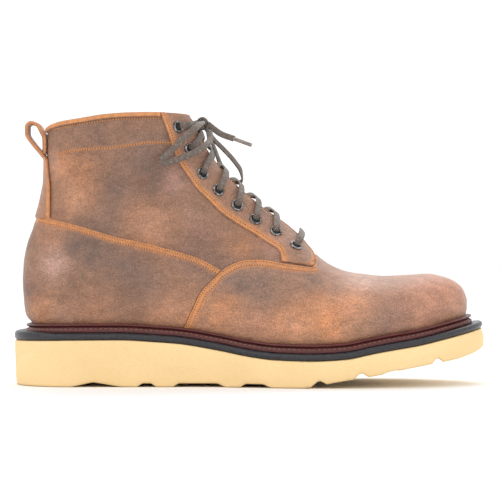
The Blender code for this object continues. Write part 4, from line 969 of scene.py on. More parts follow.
def leather_shell(name, patches, seam, finishes):
    """A closed sheet of leather from patches (outside grid, inside grid, side, tone), joined on its seam.

    The first finish is for the outside and the edge, and the last one for the inside.
    """
    outside, inside, tones, faces = [], [], [], []
    first, used = None, 0
    for outside_grid, inside_grid, side, tone in patches:
        shape = outside_grid.shape[:2]
        new = np.ones(shape, bool) if first is None or seam is None else ~seam
        ids = np.zeros(shape, int) if first is None else first.copy()
        ids[new] = used + np.arange(new.sum())
        used += int(new.sum())
        outside.append(outside_grid[new])
        inside.append(inside_grid[new])
        tones.append(tone[new])
        first = ids
        ring = np.stack([ids[:-1, :-1], ids[1:, :-1], ids[1:, 1:], ids[:-1, 1:]], axis=-1).reshape(-1, 4)
        faces.append(ring[:, ::-1] if side > 0 else ring)
    faces = np.concatenate(faces).tolist()
    once = {}
    for face in faces:
        for k, start in enumerate(face):
            end = face[(k + 1) % 4]
            if (end, start) in once:
                del once[(end, start)]
            else:
                once[(start, end)] = True
    walls = [[end, start, start + used, end + used] for start, end in once]
    backs = [[v + used for v in reversed(face)] for face in faces]
    points = np.concatenate(outside + inside)
    piece = add_mesh(name, points, faces + walls + backs, finishes, 70)
    kinds = [0] * (len(faces) + len(walls)) + [len(finishes) - 1] * len(backs)
    piece.data.polygons.foreach_set("material_index", kinds)
    tones = np.concatenate(tones)
    spots = np.concatenate(outside)
    # Each point keeps its painted highlight or darkening as an attribute.
    highlight_dark_and_gloss = np.where(spots[:, 1] < 0, highlight_and_dark_of(spots[:, 0], spots[:, 2], outer),
                      highlight_and_dark_of(spots[:, 0], spots[:, 2], inner))
    light = piece.data.attributes.new("highlight_dark_and_gloss", "FLOAT", "POINT")
    light.data.foreach_set("value", np.concatenate([highlight_dark_and_gloss, highlight_dark_and_gloss]).astype(np.float32))
    attribute = piece.data.color_attributes.new(name="tone", type="FLOAT_COLOR", domain="POINT")
    attribute.data.foreach_set("color", np.concatenate([tones, tones]).astype(np.float32).ravel())
    return piece


leather_brown = (0.275, 0.140, 0.083)
leather_orange = (0.50, 0.205, 0.085)
leather_taupe = (0.140, 0.098, 0.082)
leather_red = (0.335, 0.165, 0.118)
leather_edge = (0.66, 0.265, 0.085)
leather_dark = (0.090, 0.045, 0.030)
leather_pale = (0.56, 0.36, 0.26)
# The pinkish grey of the painted highlights
highlight_tint = (0.35, 0.235, 0.20)


def oiled_leather(name, depth=1.0):
    """Oiled nubuck: its patches of colour broken up by nap, pores and small scuffs."""
    finish, tree, shader = nodes_of(name)
    where = object_place(tree)
    tone = add_node(tree, "ShaderNodeVertexColor", layer_name="tone")
    parts = add_node(tree, "ShaderNodeSeparateColor", {"Color": tone.outputs["Color"]})
    cloud = noise_at(tree, where, 70.0, 5.0, 0.6)
    mottle = noise_at(tree, where, 340.0, 5.0, 0.65)
    nap = noise_at(tree, where, 1500.0, 3.0, 0.6)
    ragged = ranged(tree, cloud, 0.3, 0.7, 0.45, 1.25)
    ragged = product(tree, ragged, ranged(tree, mottle, 0.3, 0.7, 0.6, 1.35))
    colour = leather_brown
    for label, other in (("Green", leather_taupe), ("Blue", leather_red), ("Red", leather_orange)):
        share_of = product(tree, product(tree, parts.outputs[label], ragged), 0.95)
        colour = blended(tree, share_of, colour, other)
    shade = ranged(tree, mottle, 0.38, 0.62)
    brushed = noise_at(tree, stretched(tree, where, (1.0, 1.0, 1.7)), 120.0, 8.0, 0.78)
    fleck = noise_at(tree, stretched(tree, where, (1.0, 1.0, 1.3)), 1150.0, 4.0, 0.75)
    speck = noise_at(tree, where, 1900.0, 2.0, 0.6)
    # Painted highlights: above 0 the colour turns pinkish grey and brighter, below 0 it turns darker. The
    # same attribute also sets the roughness.
    highlight_dark_and_gloss = add_node(tree, "ShaderNodeAttribute", attribute_name="highlight_dark_and_gloss").outputs["Fac"]
    colour = blended(tree, ranged(tree, highlight_dark_and_gloss, 0.0, 1.0, 0.0, 0.42), colour, highlight_tint)
    for value, low, high, darkest, lightest in (
            (highlight_dark_and_gloss, -1.0, 1.0, 0.56, 1.40), (brushed, 0.36, 0.64, 0.80 * depth, 1.26 * depth),
            (fleck, 0.36, 0.64, 0.72, 1.34), (speck, 0.36, 0.64, 0.80, 1.22)):
        sockets = {0: colour, "Scale": ranged(tree, value, low, high, darkest, lightest)}
        colour = add_node(tree, "ShaderNodeVectorMath", sockets, operation="SCALE").outputs[0]
    colour = blended(tree, ranged(tree, fleck, 0.62, 0.74, 0.0, 0.45), colour, leather_pale)
    colour = blended(tree, ranged(tree, nap, 0.45, 0.25, 0.0, 0.30), colour, leather_dark)
    worn = product(tree, tone.outputs["Alpha"], ranged(tree, fleck, 0.36, 0.64, 1.15, 0.55))
    worn = product(tree, worn, ranged(tree, mottle, 0.38, 0.60, 0.50, 1.20))
    colour = blended(tree, worn, colour, leather_edge)
    rough = ranged(tree, product(tree, shade, tone.outputs["Alpha"], "ADD"), 0.0, 1.4, 0.50, 0.68)
    rough = product(tree, rough, ranged(tree, highlight_dark_and_gloss, -1.0, 1.0, 1.15, 0.82))
    pores = add_node(tree, "ShaderNodeTexVoronoi", {"Vector": where, "Scale": 900.0}, feature="F1")
    surface = None
    for height, distance in ((cloud, 0.0011), (mottle, 0.00042), (pores.outputs["Distance"], 0.00010),
                             (nap, 0.00014)):
        surface = raised(tree, height, distance, surface)
    feed(tree, shader, {
        "Base Color": colour, "Roughness": rough, "Normal": surface, "Specular IOR Level": 0.5,
        "Sheen Weight": 0.28, "Sheen Roughness": 0.35, "Sheen Tint": (0.86, 0.78, 0.77, 1.0)})
    return finish


def plain_hide(name, scales, tints, pitted, depths, rough):
    """Smooth undyed leather, mottled in broad patches and pricked with pores."""
    finish, tree, shader = nodes_of(name)
    where = object_place(tree)
    mottle = noise_at(tree, where, scales[0], 5.0)
    pores = noise_at(tree, where, scales[1], 2.0)
    colour = blended(tree, ranged(tree, mottle, 0.3, 0.7), tints[0], tints[1])
    colour = blended(tree, ranged(tree, pores, 0.5, 0.8, 0.0, pitted), colour, tints[2])
    normal = raised(tree, pores, depths[1], raised(tree, mottle, depths[0]))
    feed(tree, shader, {"Base Color": colour, "Normal": normal, "Roughness": rough})
    return finish


quarter_leather = oiled_leather("quarter_leather", 0.83)
lining_tints = ((0.42, 0.27, 0.155), (0.56, 0.38, 0.235), (0.24, 0.14, 0.08))
lining_leather = plain_hide("lining_leather", (160.0, 1300.0), lining_tints, 0.5, (0.0005, 0.00010), 0.72)

# Side view of the stitched line below the collar, where the lining's facing ends
fold_path = smooth_path([
    (-0.1240, 0.1478), (-0.1165, 0.1497), (-0.0873, 0.1520), (-0.0568, 0.1555), (-0.0470, 0.1555)])
fold_line = fold_path(np.linspace(0, 1, 60))
columns, rows = 150, 110
collar_columns, throat_columns = 44, 44
collar_part = collar_path(spread_start(np.linspace(0, 1, collar_columns + 1)))
throat_part = throat_edge(1 - np.linspace(0, 1, throat_columns + 1) ** 0.9)[1:]
ridge_steps = spread_end(columns - collar_columns - throat_columns)
ridge_part = ridge_edge(throat_end_x, vamp_corner_x)(ridge_steps)[1:]
throat_part[-1] = ridge_edge(throat_end_x, vamp_corner_x)(0.0)
collar_part[-1] = throat_edge(1.0)
collar_part[-1, 1] = collar_path(1.0)[1]
top_points = np.concatenate([collar_part, throat_part, ridge_part])
across = spread(np.linspace(0, 1, columns + 1))
up = 0.3 * np.linspace(0, 1, rows + 1) + 0.7 * spread(np.linspace(0, 1, rows + 1))
left = (back_edge(float(foot_height(feather_heel)), float(collar_path(0.0)[1])), up)
grid = fill((feather_edge(feather_heel, feather_toe), across), left, (lambda places: top_points, across),
            (toe_edge, up))
upper_seam = seam_mask(columns, rows, 0, -1, np.s_[collar_columns + throat_columns:, -1])
patches = []
for side in (outer, inner):
    x, z = grid[..., 0], grid[..., 1]
    rim_points = top_points[:collar_columns + throat_columns]
    base = on_skin(x, z, side, 0.0)
    edge_far = far_from(base, on_skin(*rim_points.T, side, 0.0))
    roll = rolled(edge_far, radius=0.0010, drop=0.0009)
    outside = on_skin(x, z, side, quarter_outside - roll, upper_seam)
    inside = on_skin(x, z, side, upper_inside + roll, upper_seam)
    fold_far = far_from(base, on_skin(*fold_line.T, side, 0.0))
    worn = 0.75 * fade(edge_far, 0.0016) + 0.6 * fade(fold_far, 0.0008)
    patches.append((outside, inside, side, tone_of(x, z, side, worn)))
upper = leather_shell("quarters_and_lining", patches, upper_seam, [quarter_leather, lining_leather])
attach(upper, "root")
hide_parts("upper")

# Storm welt
# A strip of oxblood leather round the boot, stitched through the midsole on its flat ledge, with a
# ridge that stands against the upper and keeps water out.
welt_leather, tree, shader = nodes_of("welt_leather")
where = object_place(tree)
rub = noise_at(tree, stretched(tree, where, (1.0, 1.0, 3.0)), 200.0, 4.0)
crack = noise_at(tree, where, 1100.0, 2.0)
colour = blended(tree, ranged(tree, rub, 0.35, 0.75), (0.056, 0.005, 0.004), (0.115, 0.013, 0.010))
colour = blended(tree, ranged(tree, crack, 0.6, 0.8, 0.0, 0.4), colour, (0.24, 0.09, 0.07))
feed(tree, shader, {
    "Base Color": colour, "Roughness": ranged(tree, rub, 0.3, 0.7, 0.30, 0.46),
    "Normal": raised(tree, crack, 0.00010, raised(tree, rub, 0.0003)), "Coat Weight": 0.12,
    "Coat Roughness": 0.3})

# Columns: distance out from the upper's foot as a share of the ledge, height over the welt's top as a
# share of the ridge
welt_section = [
    (1.00, -0.40), (1.00, -0.12), (0.985, -0.04), (0.95, 0.0), (0.90, 0.0), (0.87, -0.05), (0.84, -0.07),
    (0.81, -0.05), (0.78, 0.0), (0.72, 0.01), (0.675, 0.06), (0.655, 0.16), (0.66, 0.30), (0.70, 0.42),
    (0.78, 0.49), (0.87, 0.54), (0.925, 0.61), (0.95, 0.70), (0.93, 0.80), (0.87, 0.90), (0.78, 0.97),
    (0.66, 1.00)]
welt_against = [ridge_top - 0.0002, welt_top + 0.5 * ridge_height, welt_top]


def round_sole(side, inset, height):
    """A line round one side of the sole, at an inset from its plan and a height over the deck."""
    place = inset_plan(sheet_turns, side, inset)
    return np.column_stack([place, deck(share(place[:, 0])) + height])


loops = []
for side in (outer, inner):
    base = feather_inset(share(plan_point(sheet_turns, side)[:, 0]))
    section = [round_sole(side, base + welt_tuck, welt_base)]
    section.append(round_sole(side, base - 0.985 * welt_ledge, welt_base))
    for out, rise in welt_section:
        section.append(round_sole(side, base - out * welt_ledge, welt_top + rise * ridge_height))
    foot = inset_plan(sheet_turns, side, base)
    spot = (foot[:, 0] - feather_heel) / feather_length
    ends = (sheet_turns < 1e-6) | (sheet_turns > math.pi - 1e-6)
    for height in welt_against:
        z = deck(share(foot[:, 0])) + height
        x = back_line(z) + spot * (toe_line(z) - back_line(z))
        section.append(on_upper(x, z, side, curved_fit, ends))
    section.append(round_sole(side, base + welt_tuck, welt_top))
    loops.append(np.array(section))
ring = np.concatenate([loops[0], loops[1][:, 1:-1][:, ::-1]], axis=1)
faces = ring_faces(ring.shape[0], ring.shape[1], closed=True)
welt = add_mesh("storm_welt", ring.reshape(-1, 3), faces, [welt_leather])
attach(welt, "root")
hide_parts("welt")

welt_thread = thread_material("welt_thread", (0.20, 0.070, 0.055), (0.36, 0.16, 0.125))
ledge_lines = []
for side in (outer, inner):
    base = feather_inset(share(plan_point(sheet_turns, side)[:, 0]))
    ledge_lines.append(round_sole(side, base - 0.845 * welt_ledge, welt_top + 0.00005))
ledge_loop = np.concatenate([ledge_lines[0], ledge_lines[1][::-1]])
welt_stitches = sew("welt_stitches", [ledge_loop], pitch=0.0032, length=0.0024, radius=0.00045,
                    hole=0.00036, thread=welt_thread)

# Footbed
# A cork and leather board inside the boot, covered in smooth tan leather. It rests on the welt's
# flange and shows through the collar.
footbed_tints = ((0.30, 0.18, 0.10), (0.46, 0.30, 0.18), (0.16, 0.09, 0.05))
footbed_leather = plain_hide("footbed_leather", (60.0, 1200.0), footbed_tints, 0.4, (0.0006, 0.00008), 0.6)
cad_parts["insole"].material_slots[0].material = footbed_leather

# Tongue
# A plain leaf of the same leather, sewn in under the vamp. It closes the throat behind the laces and
# its cut edge shows at the top.
tongue_thick = 0.0022
tongue_width_top = 0.056
tongue_width_end = 0.040
tongue_fit = 0.0012
tongue_end_x = 0.40 * half_length
tongue_top_x = -0.2465 * half_length
along = np.linspace(throat_t(tongue_end_x), throat_t(tongue_top_x), 90)
across = np.linspace(-1, 1, 41)
up_share = (along - along[0]) / (along[-1] - along[0])
half = (tongue_width_end + (tongue_width_top - tongue_width_end) * up_share) / 2
half = half * (1 - 0.25 * ease(up_share, 0.93, 1.0) - 0.3 * ease(-up_share, -0.12, 0.0))
half = half * (1 - 0.10 * ease(up_share, 0.985, 1.0))
grids = []
for lift in (upper_inside - tongue_fit, upper_inside - tongue_fit - tongue_thick):
    sheet = np.zeros((len(across), len(along), 3))
    for k, place in enumerate(across):
        side = outer if place < 0 else inner
        spots = below_ridge(along, np.maximum(np.abs(place) * half, 1e-5))
        sheet[k] = on_upper(*spots.T, side, lift, abs(place) < 1e-9)
    grids.append(sheet)
edge_far = np.minimum((1 - np.abs(across))[:, None] * half[None, :], (1 - up_share)[None, :] * 0.12)
tongue_tone = np.zeros(grids[0].shape[:2] + (4,))
tongue_tone[..., :2] = 0.35
tongue_tone[..., 3] = fade(edge_far, 0.0018)
tongue = leather_shell("tongue_leaf", [(grids[0], grids[1], outer, tongue_tone)], None, [quarter_leather])
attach(tongue, "root")
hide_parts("tongue")

# Vamp
# The forefoot in one piece of oiled nubuck, lasted over the toe and tucked under the welt's ridge.
# Its skived rear edge lies over the quarters and is sewn down with two rows.
vamp_rows = [
    (-0.2360, 0.149), (-0.2030, 0.219), (-0.1600, 0.265), (-0.1266, 0.301), (-0.0813, 0.3315),
    (-0.0315, 0.3514), (0.0144, 0.3562), (0.0643, 0.3542), (0.1318, 0.3411), (0.2085, 0.3294),
    (0.2620, 0.3210)]
vamp_foot_x = -0.2850 * half_length
tab_front_x = 0.2800 * half_length
vamp_start = [(vamp_foot_x, float(foot_height(vamp_foot_x)))]
vamp_middle = side_view(vamp_rows)
tab_front = [(tab_front_x - 0.0008, upper_height(0.335)), (tab_front_x, float(ridge_line(tab_front_x)))]
vamp_edge = softened(smooth_path(vamp_start + vamp_middle + tab_front), rounds=34)
edge_gap = 0.0002


def path_place(path, point):
    """The place, from 0 to 1, where a path comes nearest to a point."""
    places = np.linspace(0, 1, 2001)
    far = np.linalg.norm(path(places) - np.asarray(point, float), axis=-1)
    return float(places[int(far.argmin())])


def near_start(count, pull):
    """Count steps from 0 to 1, closer together at the start."""
    even = np.linspace(0, 1, count + 1)
    return (1 - pull) * even + pull * even ** 2.6


def near_ends(count, pull):
    """Count steps from 0 to 1, closer together at both ends."""
    even = np.linspace(0, 1, count + 1)
    return (1 - pull) * even + pull * spread(even)


def near_end(count, pull):
    """Count steps from 0 to 1, closer together at the end."""
    return 1 - near_start(count, pull)[::-1]


def far_from_edges(points, edges, side):
    """The distance of points on the leather from the nearest of some side view lines."""
    lines = [on_skin(*edge.T, side, 0.0) for edge in edges]
    return np.min([far_from(points, line) for line in lines], axis=0)


def overlay(name, grid, sides, lift, edges, worn_edges, band, worn_most, seam, node, finish):
    """A leather overlay on the reference surface, its free edges rolled down and rubbed to orange.

    Edges are side view lines. The wear follows worn_edges out past their stitches, where the leather
    puffs up a little. The very edge is darker, with a light line beside it.
    """
    patches = []
    for side in sides:
        x, z = grid[..., 0], grid[..., 1]
        base = on_skin(x, z, side, 0.0)
        edge_far, worn_far = (far_from_edges(base, group, side) for group in (edges, worn_edges))
        fall = rolled(edge_far, radius=0.0009, drop=0.8 * (lift + overlay_thick))
        puff = 0.00022 * fade(edge_far - band - 0.0012, 0.0016)
        outside = on_skin(x, z, side, lift - fall + puff, seam)
        inside = on_skin(x, z, side, -overlay_thick - 0.0001, seam)
        worn = worn_most * (1 - ease(worn_far, 0.45 * band, 1.40 * band))
        # The very edge keeps little orange: partly its own dark cut edge, partly painted shade under the
        # roll.
        worn = worn * (1 - 0.75 * fade(edge_far, 0.00045)) + 0.25 * fade(edge_far - 0.0009, 0.0005)
        patches.append((outside, inside, side, tone_of(x, z, side, worn)))
    piece = leather_shell(name, patches, seam, [finish])
    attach(piece, "root")
    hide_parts(node)


columns, rows = 130, 96
across = near_start(columns, 0.55)
crown_start = path_place(vamp_edge, vamp_middle[-1])
up = np.concatenate([np.linspace(0, crown_start, 71), np.linspace(crown_start, 1, 27)[1:]])
grid = fill((feather_edge(vamp_foot_x, feather_toe), across), (vamp_edge, up),
            (ridge_edge(tab_front_x, vamp_corner_x), across), (toe_edge, up))
vamp_seam = seam_mask(columns, rows, -1, np.s_[:, -1])
vamp_line = vamp_edge(np.linspace(0, 1, 200))
vamp_worn = [vamp_line[:int(200 * crown_start)]]
overlay("vamp_leather", grid, (outer, inner), lift=0.0, edges=[vamp_line], worn_edges=vamp_worn, band=0.0050,
        worn_most=0.80, seam=vamp_seam, node="vamp", finish=oiled_leather("vamp_leather", 1.15))

# Counter
# A stiffened cover over the heel, from the sole to its falling top edge, which runs under the vamp
# and is sewn with two rows.
counter_rows = [
    (-0.8131, 0.527), (-0.6787, 0.491), (-0.5462, 0.4495), (-0.4538, 0.4297), (-0.3259, 0.3953),
    (-0.2223, 0.3645), (-0.1639, 0.3350), (-0.1310, 0.3080)]
counter_back_rise = 0.545
counter_back = [(float(back_line(upper_height(counter_back_rise))), upper_height(counter_back_rise))]
counter_top = smooth_path(counter_back + side_view(counter_rows))
counter_end = counter_top(1.0)
vamp_reach = float(np.interp(counter_end[1], vamp_line[:, 1], np.linspace(0, 1, 200)))


def counter_front(t):
    """The counter's front edge, just behind the vamp's."""
    return vamp_edge(vamp_reach * np.asarray(t, float)) - np.array([edge_gap, 0.0])


counter_points = [tuple(point) for point in counter_top(np.linspace(0, 0.96, 12))]
counter_line = softened(smooth_path(counter_points + [tuple(counter_front(1.0))]), rounds=50)
columns, rows = 100, 60
across = near_start(columns, 0.3)
up = near_end(rows, 0.5)
left = (back_edge(float(foot_height(feather_heel)), upper_height(counter_back_rise)), up)
grid = fill((feather_edge(feather_heel, float(counter_front(0.0)[0])), across), left, (counter_line, across),
            (counter_front, up))
counter_seam = seam_mask(columns, rows, 0)
counter_edges = [counter_line(np.linspace(0, 1, 160))]
overlay("heel_counter", grid, (outer, inner), lift=counter_thick - overlay_thick, edges=counter_edges,
        worn_edges=counter_edges, band=0.0042, worn_most=0.75, seam=counter_seam, node="counter",
        finish=oiled_leather("counter_leather", 0.92))

# Eyestays
# Facings of the same leather along both sides of the throat, ending in a rounded tab that lies on the
# vamp. They carry the eyelets.
eyestay_rows = [
    (0.1305, 0.3480), (0.1305, 0.3747), (0.1213, 0.4020), (0.0911, 0.4207), (0.0170, 0.4695),
    (-0.0564, 0.5148), (-0.1311, 0.5697), (-0.1607, 0.6047), (-0.2177, 0.6596), (-0.2564, 0.7186),
    (-0.2938, 0.7749), (-0.3213, 0.8449), (-0.3443, 0.9183), (-0.3731, 0.9985)]
eyestay_rear = softened(smooth_path(side_view(eyestay_rows)), rounds=40)
tab_points = side_view([(0.2690, 0.3292), (0.2788, 0.3530)])
throat_points = [tuple(p) for p in throat_edge(np.array([0.02, 0.05, 0.1, 0.2, 0.35, 0.5, 0.65, 0.8, 1.0]))]
eyestay_front = softened(smooth_path(tab_points + throat_points), rounds=10)


def collar_height_at(x):
    """The collar's top line as a height over x."""
    places = collar_path(np.linspace(0, 1, 200))
    return np.interp(x, places[:, 0], places[:, 1])


def eyestay_low(t):
    """The lower end of the facing, along the vamp's edge."""
    start, end = eyestay_rear(0.0), eyestay_front(0.0)
    return start + (end - start) * np.asarray(t, float)[:, None]


# The upper end of the facing, along the collar
eyestay_high = between(float(eyestay_rear(1.0)[0]), float(eyestay_front(1.0)[0]),
                       lambda x: [x, collar_height_at(x)])
columns, rows = 44, 170
across = near_ends(columns, 0.7)
up = near_start(rows, 0.35)
grid = fill((eyestay_low, across), (eyestay_rear, up), (eyestay_high, across), (eyestay_front, up))
many = np.linspace(0, 1, 150)
eyestay_lines = [eyestay_rear(many), eyestay_front(many), eyestay_low(many[::5]), eyestay_high(many[::5])]
facing_leather = oiled_leather("facing_leather")
eyestay_worn = [eyestay_rear(many), eyestay_front(np.linspace(0, 0.09, 20))]
for name, side in (("eyestay_outer", outer), ("eyestay_inner", inner)):
    overlay(name + "_facing", grid, (side,), lift=0.0, edges=eyestay_lines, worn_edges=eyestay_worn,
            band=0.0040, worn_most=0.80, seam=None, node=name, finish=facing_leather)

# Collar band
# The quarters' upper edge is bound with a narrow turned strip, lighter where the leather is folded.
collar_band_width = 0.0030
columns, rows = 120, 8
across = np.linspace(0, 1, columns + 1) ** 1.4
band_end = float(eyestay_rear(1.0)[0]) - 0.0002
band_start = float(collar_path(0.0)[0])


def band_edge(drop):
    """The band's edge at a drop below the collar's top line."""
    def edge(t):
        x = band_start + (band_end - band_start) * np.asarray(t, float)
        z = collar_height_at(x) - drop
        return np.stack([np.where(np.asarray(t) <= 0, back_line(z), x), z], axis=-1)
    return edge


up = np.linspace(0, 1, rows + 1)
band_high = float(collar_height_at(band_end))


def end_line(t):
    """The band's front end, from its lower edge up."""
    return np.stack([np.full_like(t, band_end), band_high + collar_band_width * (t - 1)], axis=-1)


start_high = float(collar_height_at(band_start))
back_part = back_edge(start_high - collar_band_width, start_high)
grid = fill((band_edge(collar_band_width), across), (back_part, up), (band_edge(0.0), across), (end_line, up))
band_seam = seam_mask(columns, rows, 0)
band_lines = [band_edge(0.0)(many), band_edge(collar_band_width)(many)]
overlay("collar_binding", grid, (outer, inner), lift=0.0002, edges=band_lines, worn_edges=band_lines,
        band=0.0040, worn_most=0.85, seam=band_seam, node="collar_band",
        finish=oiled_leather("binding_leather"))

# Pull loop
# A backstay of folded leather over the back seam, which leaves the collar and turns back as a loop to
# pull the boot on by. It is sewn down along both edges.
loop_width = 0.020
loop_thick = 0.0022
backstay_width_top = 0.023
backstay_width_base = 0.042
# Columns: x as a share of the half length, share of the shaft's height, half width as a share of the loop's
loop_rows = [
    (-0.8850, 0.8150, 1.05), (-0.9000, 0.8350, 1.0), (-0.9290, 0.8720, 1.0), (-0.9500, 0.9120, 1.0),
    (-0.9500, 0.9420, 1.0), (-0.9330, 0.9590, 1.0), (-0.9060, 0.9500, 1.0), (-0.8890, 0.9200, 1.0),
    (-0.8770, 0.8900, 1.0), (-0.8760, 0.8550, 1.0), (-0.8780, 0.8200, 0.95)]
# Its lower end is skived and tucked under the counter
strap_tuck = 0.0030
strap_z = np.linspace(upper_height(counter_back_rise) - strap_tuck, upper_height(0.790), 6)
strap_rows = [(float(back_line(z)), float(z), half_of, 0.0) for z, half_of in
              zip(strap_z, np.linspace(backstay_width_base, backstay_width_top, 6) / 2)]
strap_rows += [(x * half_length, upper_height(rise), loop_width / 2 * of, 1.0) for x, rise, of in loop_rows]
# Width and freedom ride along the path, made small so that its length stays that of the side view
width_weight, free_weight = 0.2, 0.001
strap_path = smooth_path([(x, z, half_of * width_weight, free * free_weight)
                          for x, z, half_of, free in strap_rows])
strap = strap_path(np.linspace(0, 1, 120))
strap_way = unit(np.gradient(strap[:, :2], axis=0))
strap_out = np.stack([-strap_way[:, 1], strap_way[:, 0]], axis=-1)
across = np.linspace(-1, 1, 31)
across = np.sign(across) * (1 - (1 - np.abs(across)) ** 1.5)
depths = np.linspace(0, 0.02, 200)
tuck_depth = 0.0016
# Stations of the strap where it comes out from under the counter, and where its end lies on the shaft
tuck_start, tuck_end = 1.0, 4.0
leaf_start, leaf_end = 92.0, 106.0
sheets = [np.zeros((len(across), len(strap), 3)) for _ in range(2)]
strap_tone = np.zeros((len(across), len(strap), 4))
for i, (x, z, half_of, free) in enumerate(strap):
    half_of, free = half_of / width_weight, free / free_weight
    level = min(z, upper_height(0.95))
    widths = half_width(float(back_line(level)) + depths, np.full_like(depths, level))
    recede = np.interp(np.abs(across) * half_of, widths, depths)
    edge_far = (1 - np.abs(across)) * half_of
    thin = rolled(edge_far, radius=0.0010, drop=0.8)
    hug = 0.6 + 0.4 * ease(i, leaf_start, leaf_end)
    tucked = tuck_depth * (1 - ease(i, tuck_start, tuck_end))
    for sheet, lift in zip(sheets, (loop_thick / 2, -loop_thick / 2)):
        lift = lift * (1 - thin)
        loose = np.stack([x + hug * recede + strap_out[i, 0] * lift, across * half_of,
                          np.full_like(recede, z) + strap_out[i, 1] * lift], axis=-1)
        if free > 0.999:
            sheet[:, i] = loose
            continue
        for side in (outer, inner):
            pick = across < 0 if side < 0 else across >= 0
            on_boot = on_upper(x + recede, np.full_like(recede, z), side, lift - 0.1 * loop_thick - tucked,
                               np.abs(across) < 1e-9)
            sheet[pick, i] = ((1 - free) * on_boot + free * loose)[pick]
    strap_tone[:, i, 3] = (0.75 - 0.3 * free) * (1 - ease(edge_far, 0.0010, 0.0020))
    strap_tone[:, i, 1] = 0.25 * (1 - free)
    strap_tone[:, i, 0] = 0.35 + 0.3 * free
pull_loop = leather_shell("backstay_and_pull_loop", [(sheets[0], sheets[1], inner, strap_tone)], None,
                          [oiled_leather("strap_leather")])
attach(pull_loop, "root")
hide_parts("pull_loop")

# Seams of the upper
# Orange-brown polyester thread, in short stitches, two rows on the vamp and the counter and one row
# elsewhere, with a short second row at the tab of each facing.
upper_thread = thread_material("upper_thread", (0.48, 0.18, 0.055), (0.82, 0.38, 0.14))


def beside(path, places, gap, side, lift):
    """A line on the leather beside a side view path. A gap above 0 lies to the right of its way."""
    spots = path(places)
    way = unit(np.gradient(spots, axis=0))
    turn = np.stack([way[:, 1], -way[:, 0]], axis=-1) * math.copysign(1.0, gap)
    step = 0.0005
    near = spots + turn * step
    apart = on_upper(*near.T, side, 0.0) - on_upper(*spots.T, side, 0.0)
    spots = spots + turn * (abs(gap) * step / np.linalg.norm(apart, axis=1))[:, None]
    return on_skin(*spots.T, side, lift)


thread_lift = 0.0001
# Columns: path, first and last place on it, points, distance beside it, lift
seam_rows = [
    (vamp_edge, 0.02, 0.93, 220, 0.0013, thread_lift), (vamp_edge, 0.02, 0.93, 220, 0.0040, thread_lift),
    (counter_line, 0.02, 0.985, 160, 0.0012, counter_thick - overlay_thick + thread_lift),
    (counter_line, 0.02, 0.985, 160, 0.0034, counter_thick - overlay_thick + thread_lift),
    (eyestay_rear, 0.02, 0.985, 200, 0.0020, thread_lift),
    (eyestay_front, 0.01, 0.97, 200, -0.0016, thread_lift),
    (eyestay_front, 0.01, 0.11, 30, -0.0031, thread_lift),
    (collar_path, 0.06, 0.80, 120, 0.0040, quarter_outside + thread_lift)]
seam_lines = []
for side in (outer, inner):
    for path, first, last, count, gap, lift in seam_rows:
        seam_lines.append(beside(path, np.linspace(first, last, count), gap, side, lift))
    seam_lines.append(on_skin(*fold_line.T, side, quarter_outside + thread_lift))
upper_seams = sew("upper_seams", seam_lines, pitch=0.0017, length=0.00115, radius=0.00036, hole=0.00026,
                  thread=upper_thread)
strap_lines = [0.8 * sheets[0][k, 4:] + 0.2 * sheets[1][k, 4:] for k in (2, 28)]
strap_seams = sew("strap_seams", strap_lines, pitch=0.0019, length=0.00125, radius=0.00030, hole=0.00030,
                  thread=upper_thread)

# Eyelets
# Rolled brass rings in a dark gunmetal finish, eight to a side, clenched through the facings. The
# laces have rubbed them bright in places.
eyelet_width = 0.0076
eyelet_hole = 0.0047
eyelet_thick = 0.0010
# From the collar down. Columns: x as a share of the half length, share of the shaft's height
eyelet_places = [
    (-0.3010, 0.9341), (-0.2525, 0.8367), (-0.1987, 0.7310), (-0.1325, 0.6582), (-0.0544, 0.5903),
    (0.0230, 0.5285), (0.1089, 0.4756), (0.1934, 0.4145)]
gunmetal, tree, shader = nodes_of("gunmetal")
where = object_place(tree)
rubbed = noise_at(tree, where, 700.0, 4.0)
colour = blended(tree, ranged(tree, rubbed, 0.42, 0.66), (0.085, 0.082, 0.083), (0.42, 0.41, 0.405))
feed(tree, shader, {"Base Color": colour, "Roughness": ranged(tree, rubbed, 0.3, 0.7, 0.22, 0.40),
                    "Normal": raised(tree, rubbed, 0.00006), "Metallic": 1.0})
# A dark disc in each eyelet's hole: painted shade in the hole.
eyelet_hole_shade, tree, shader = nodes_of("eyelet_hole_shade")
soot = noise_at(tree, object_place(tree), 800.0)
colour = blended(tree, soot, (0.008, 0.007, 0.007), (0.022, 0.018, 0.016))
feed(tree, shader, {"Base Color": colour, "Roughness": 0.9})


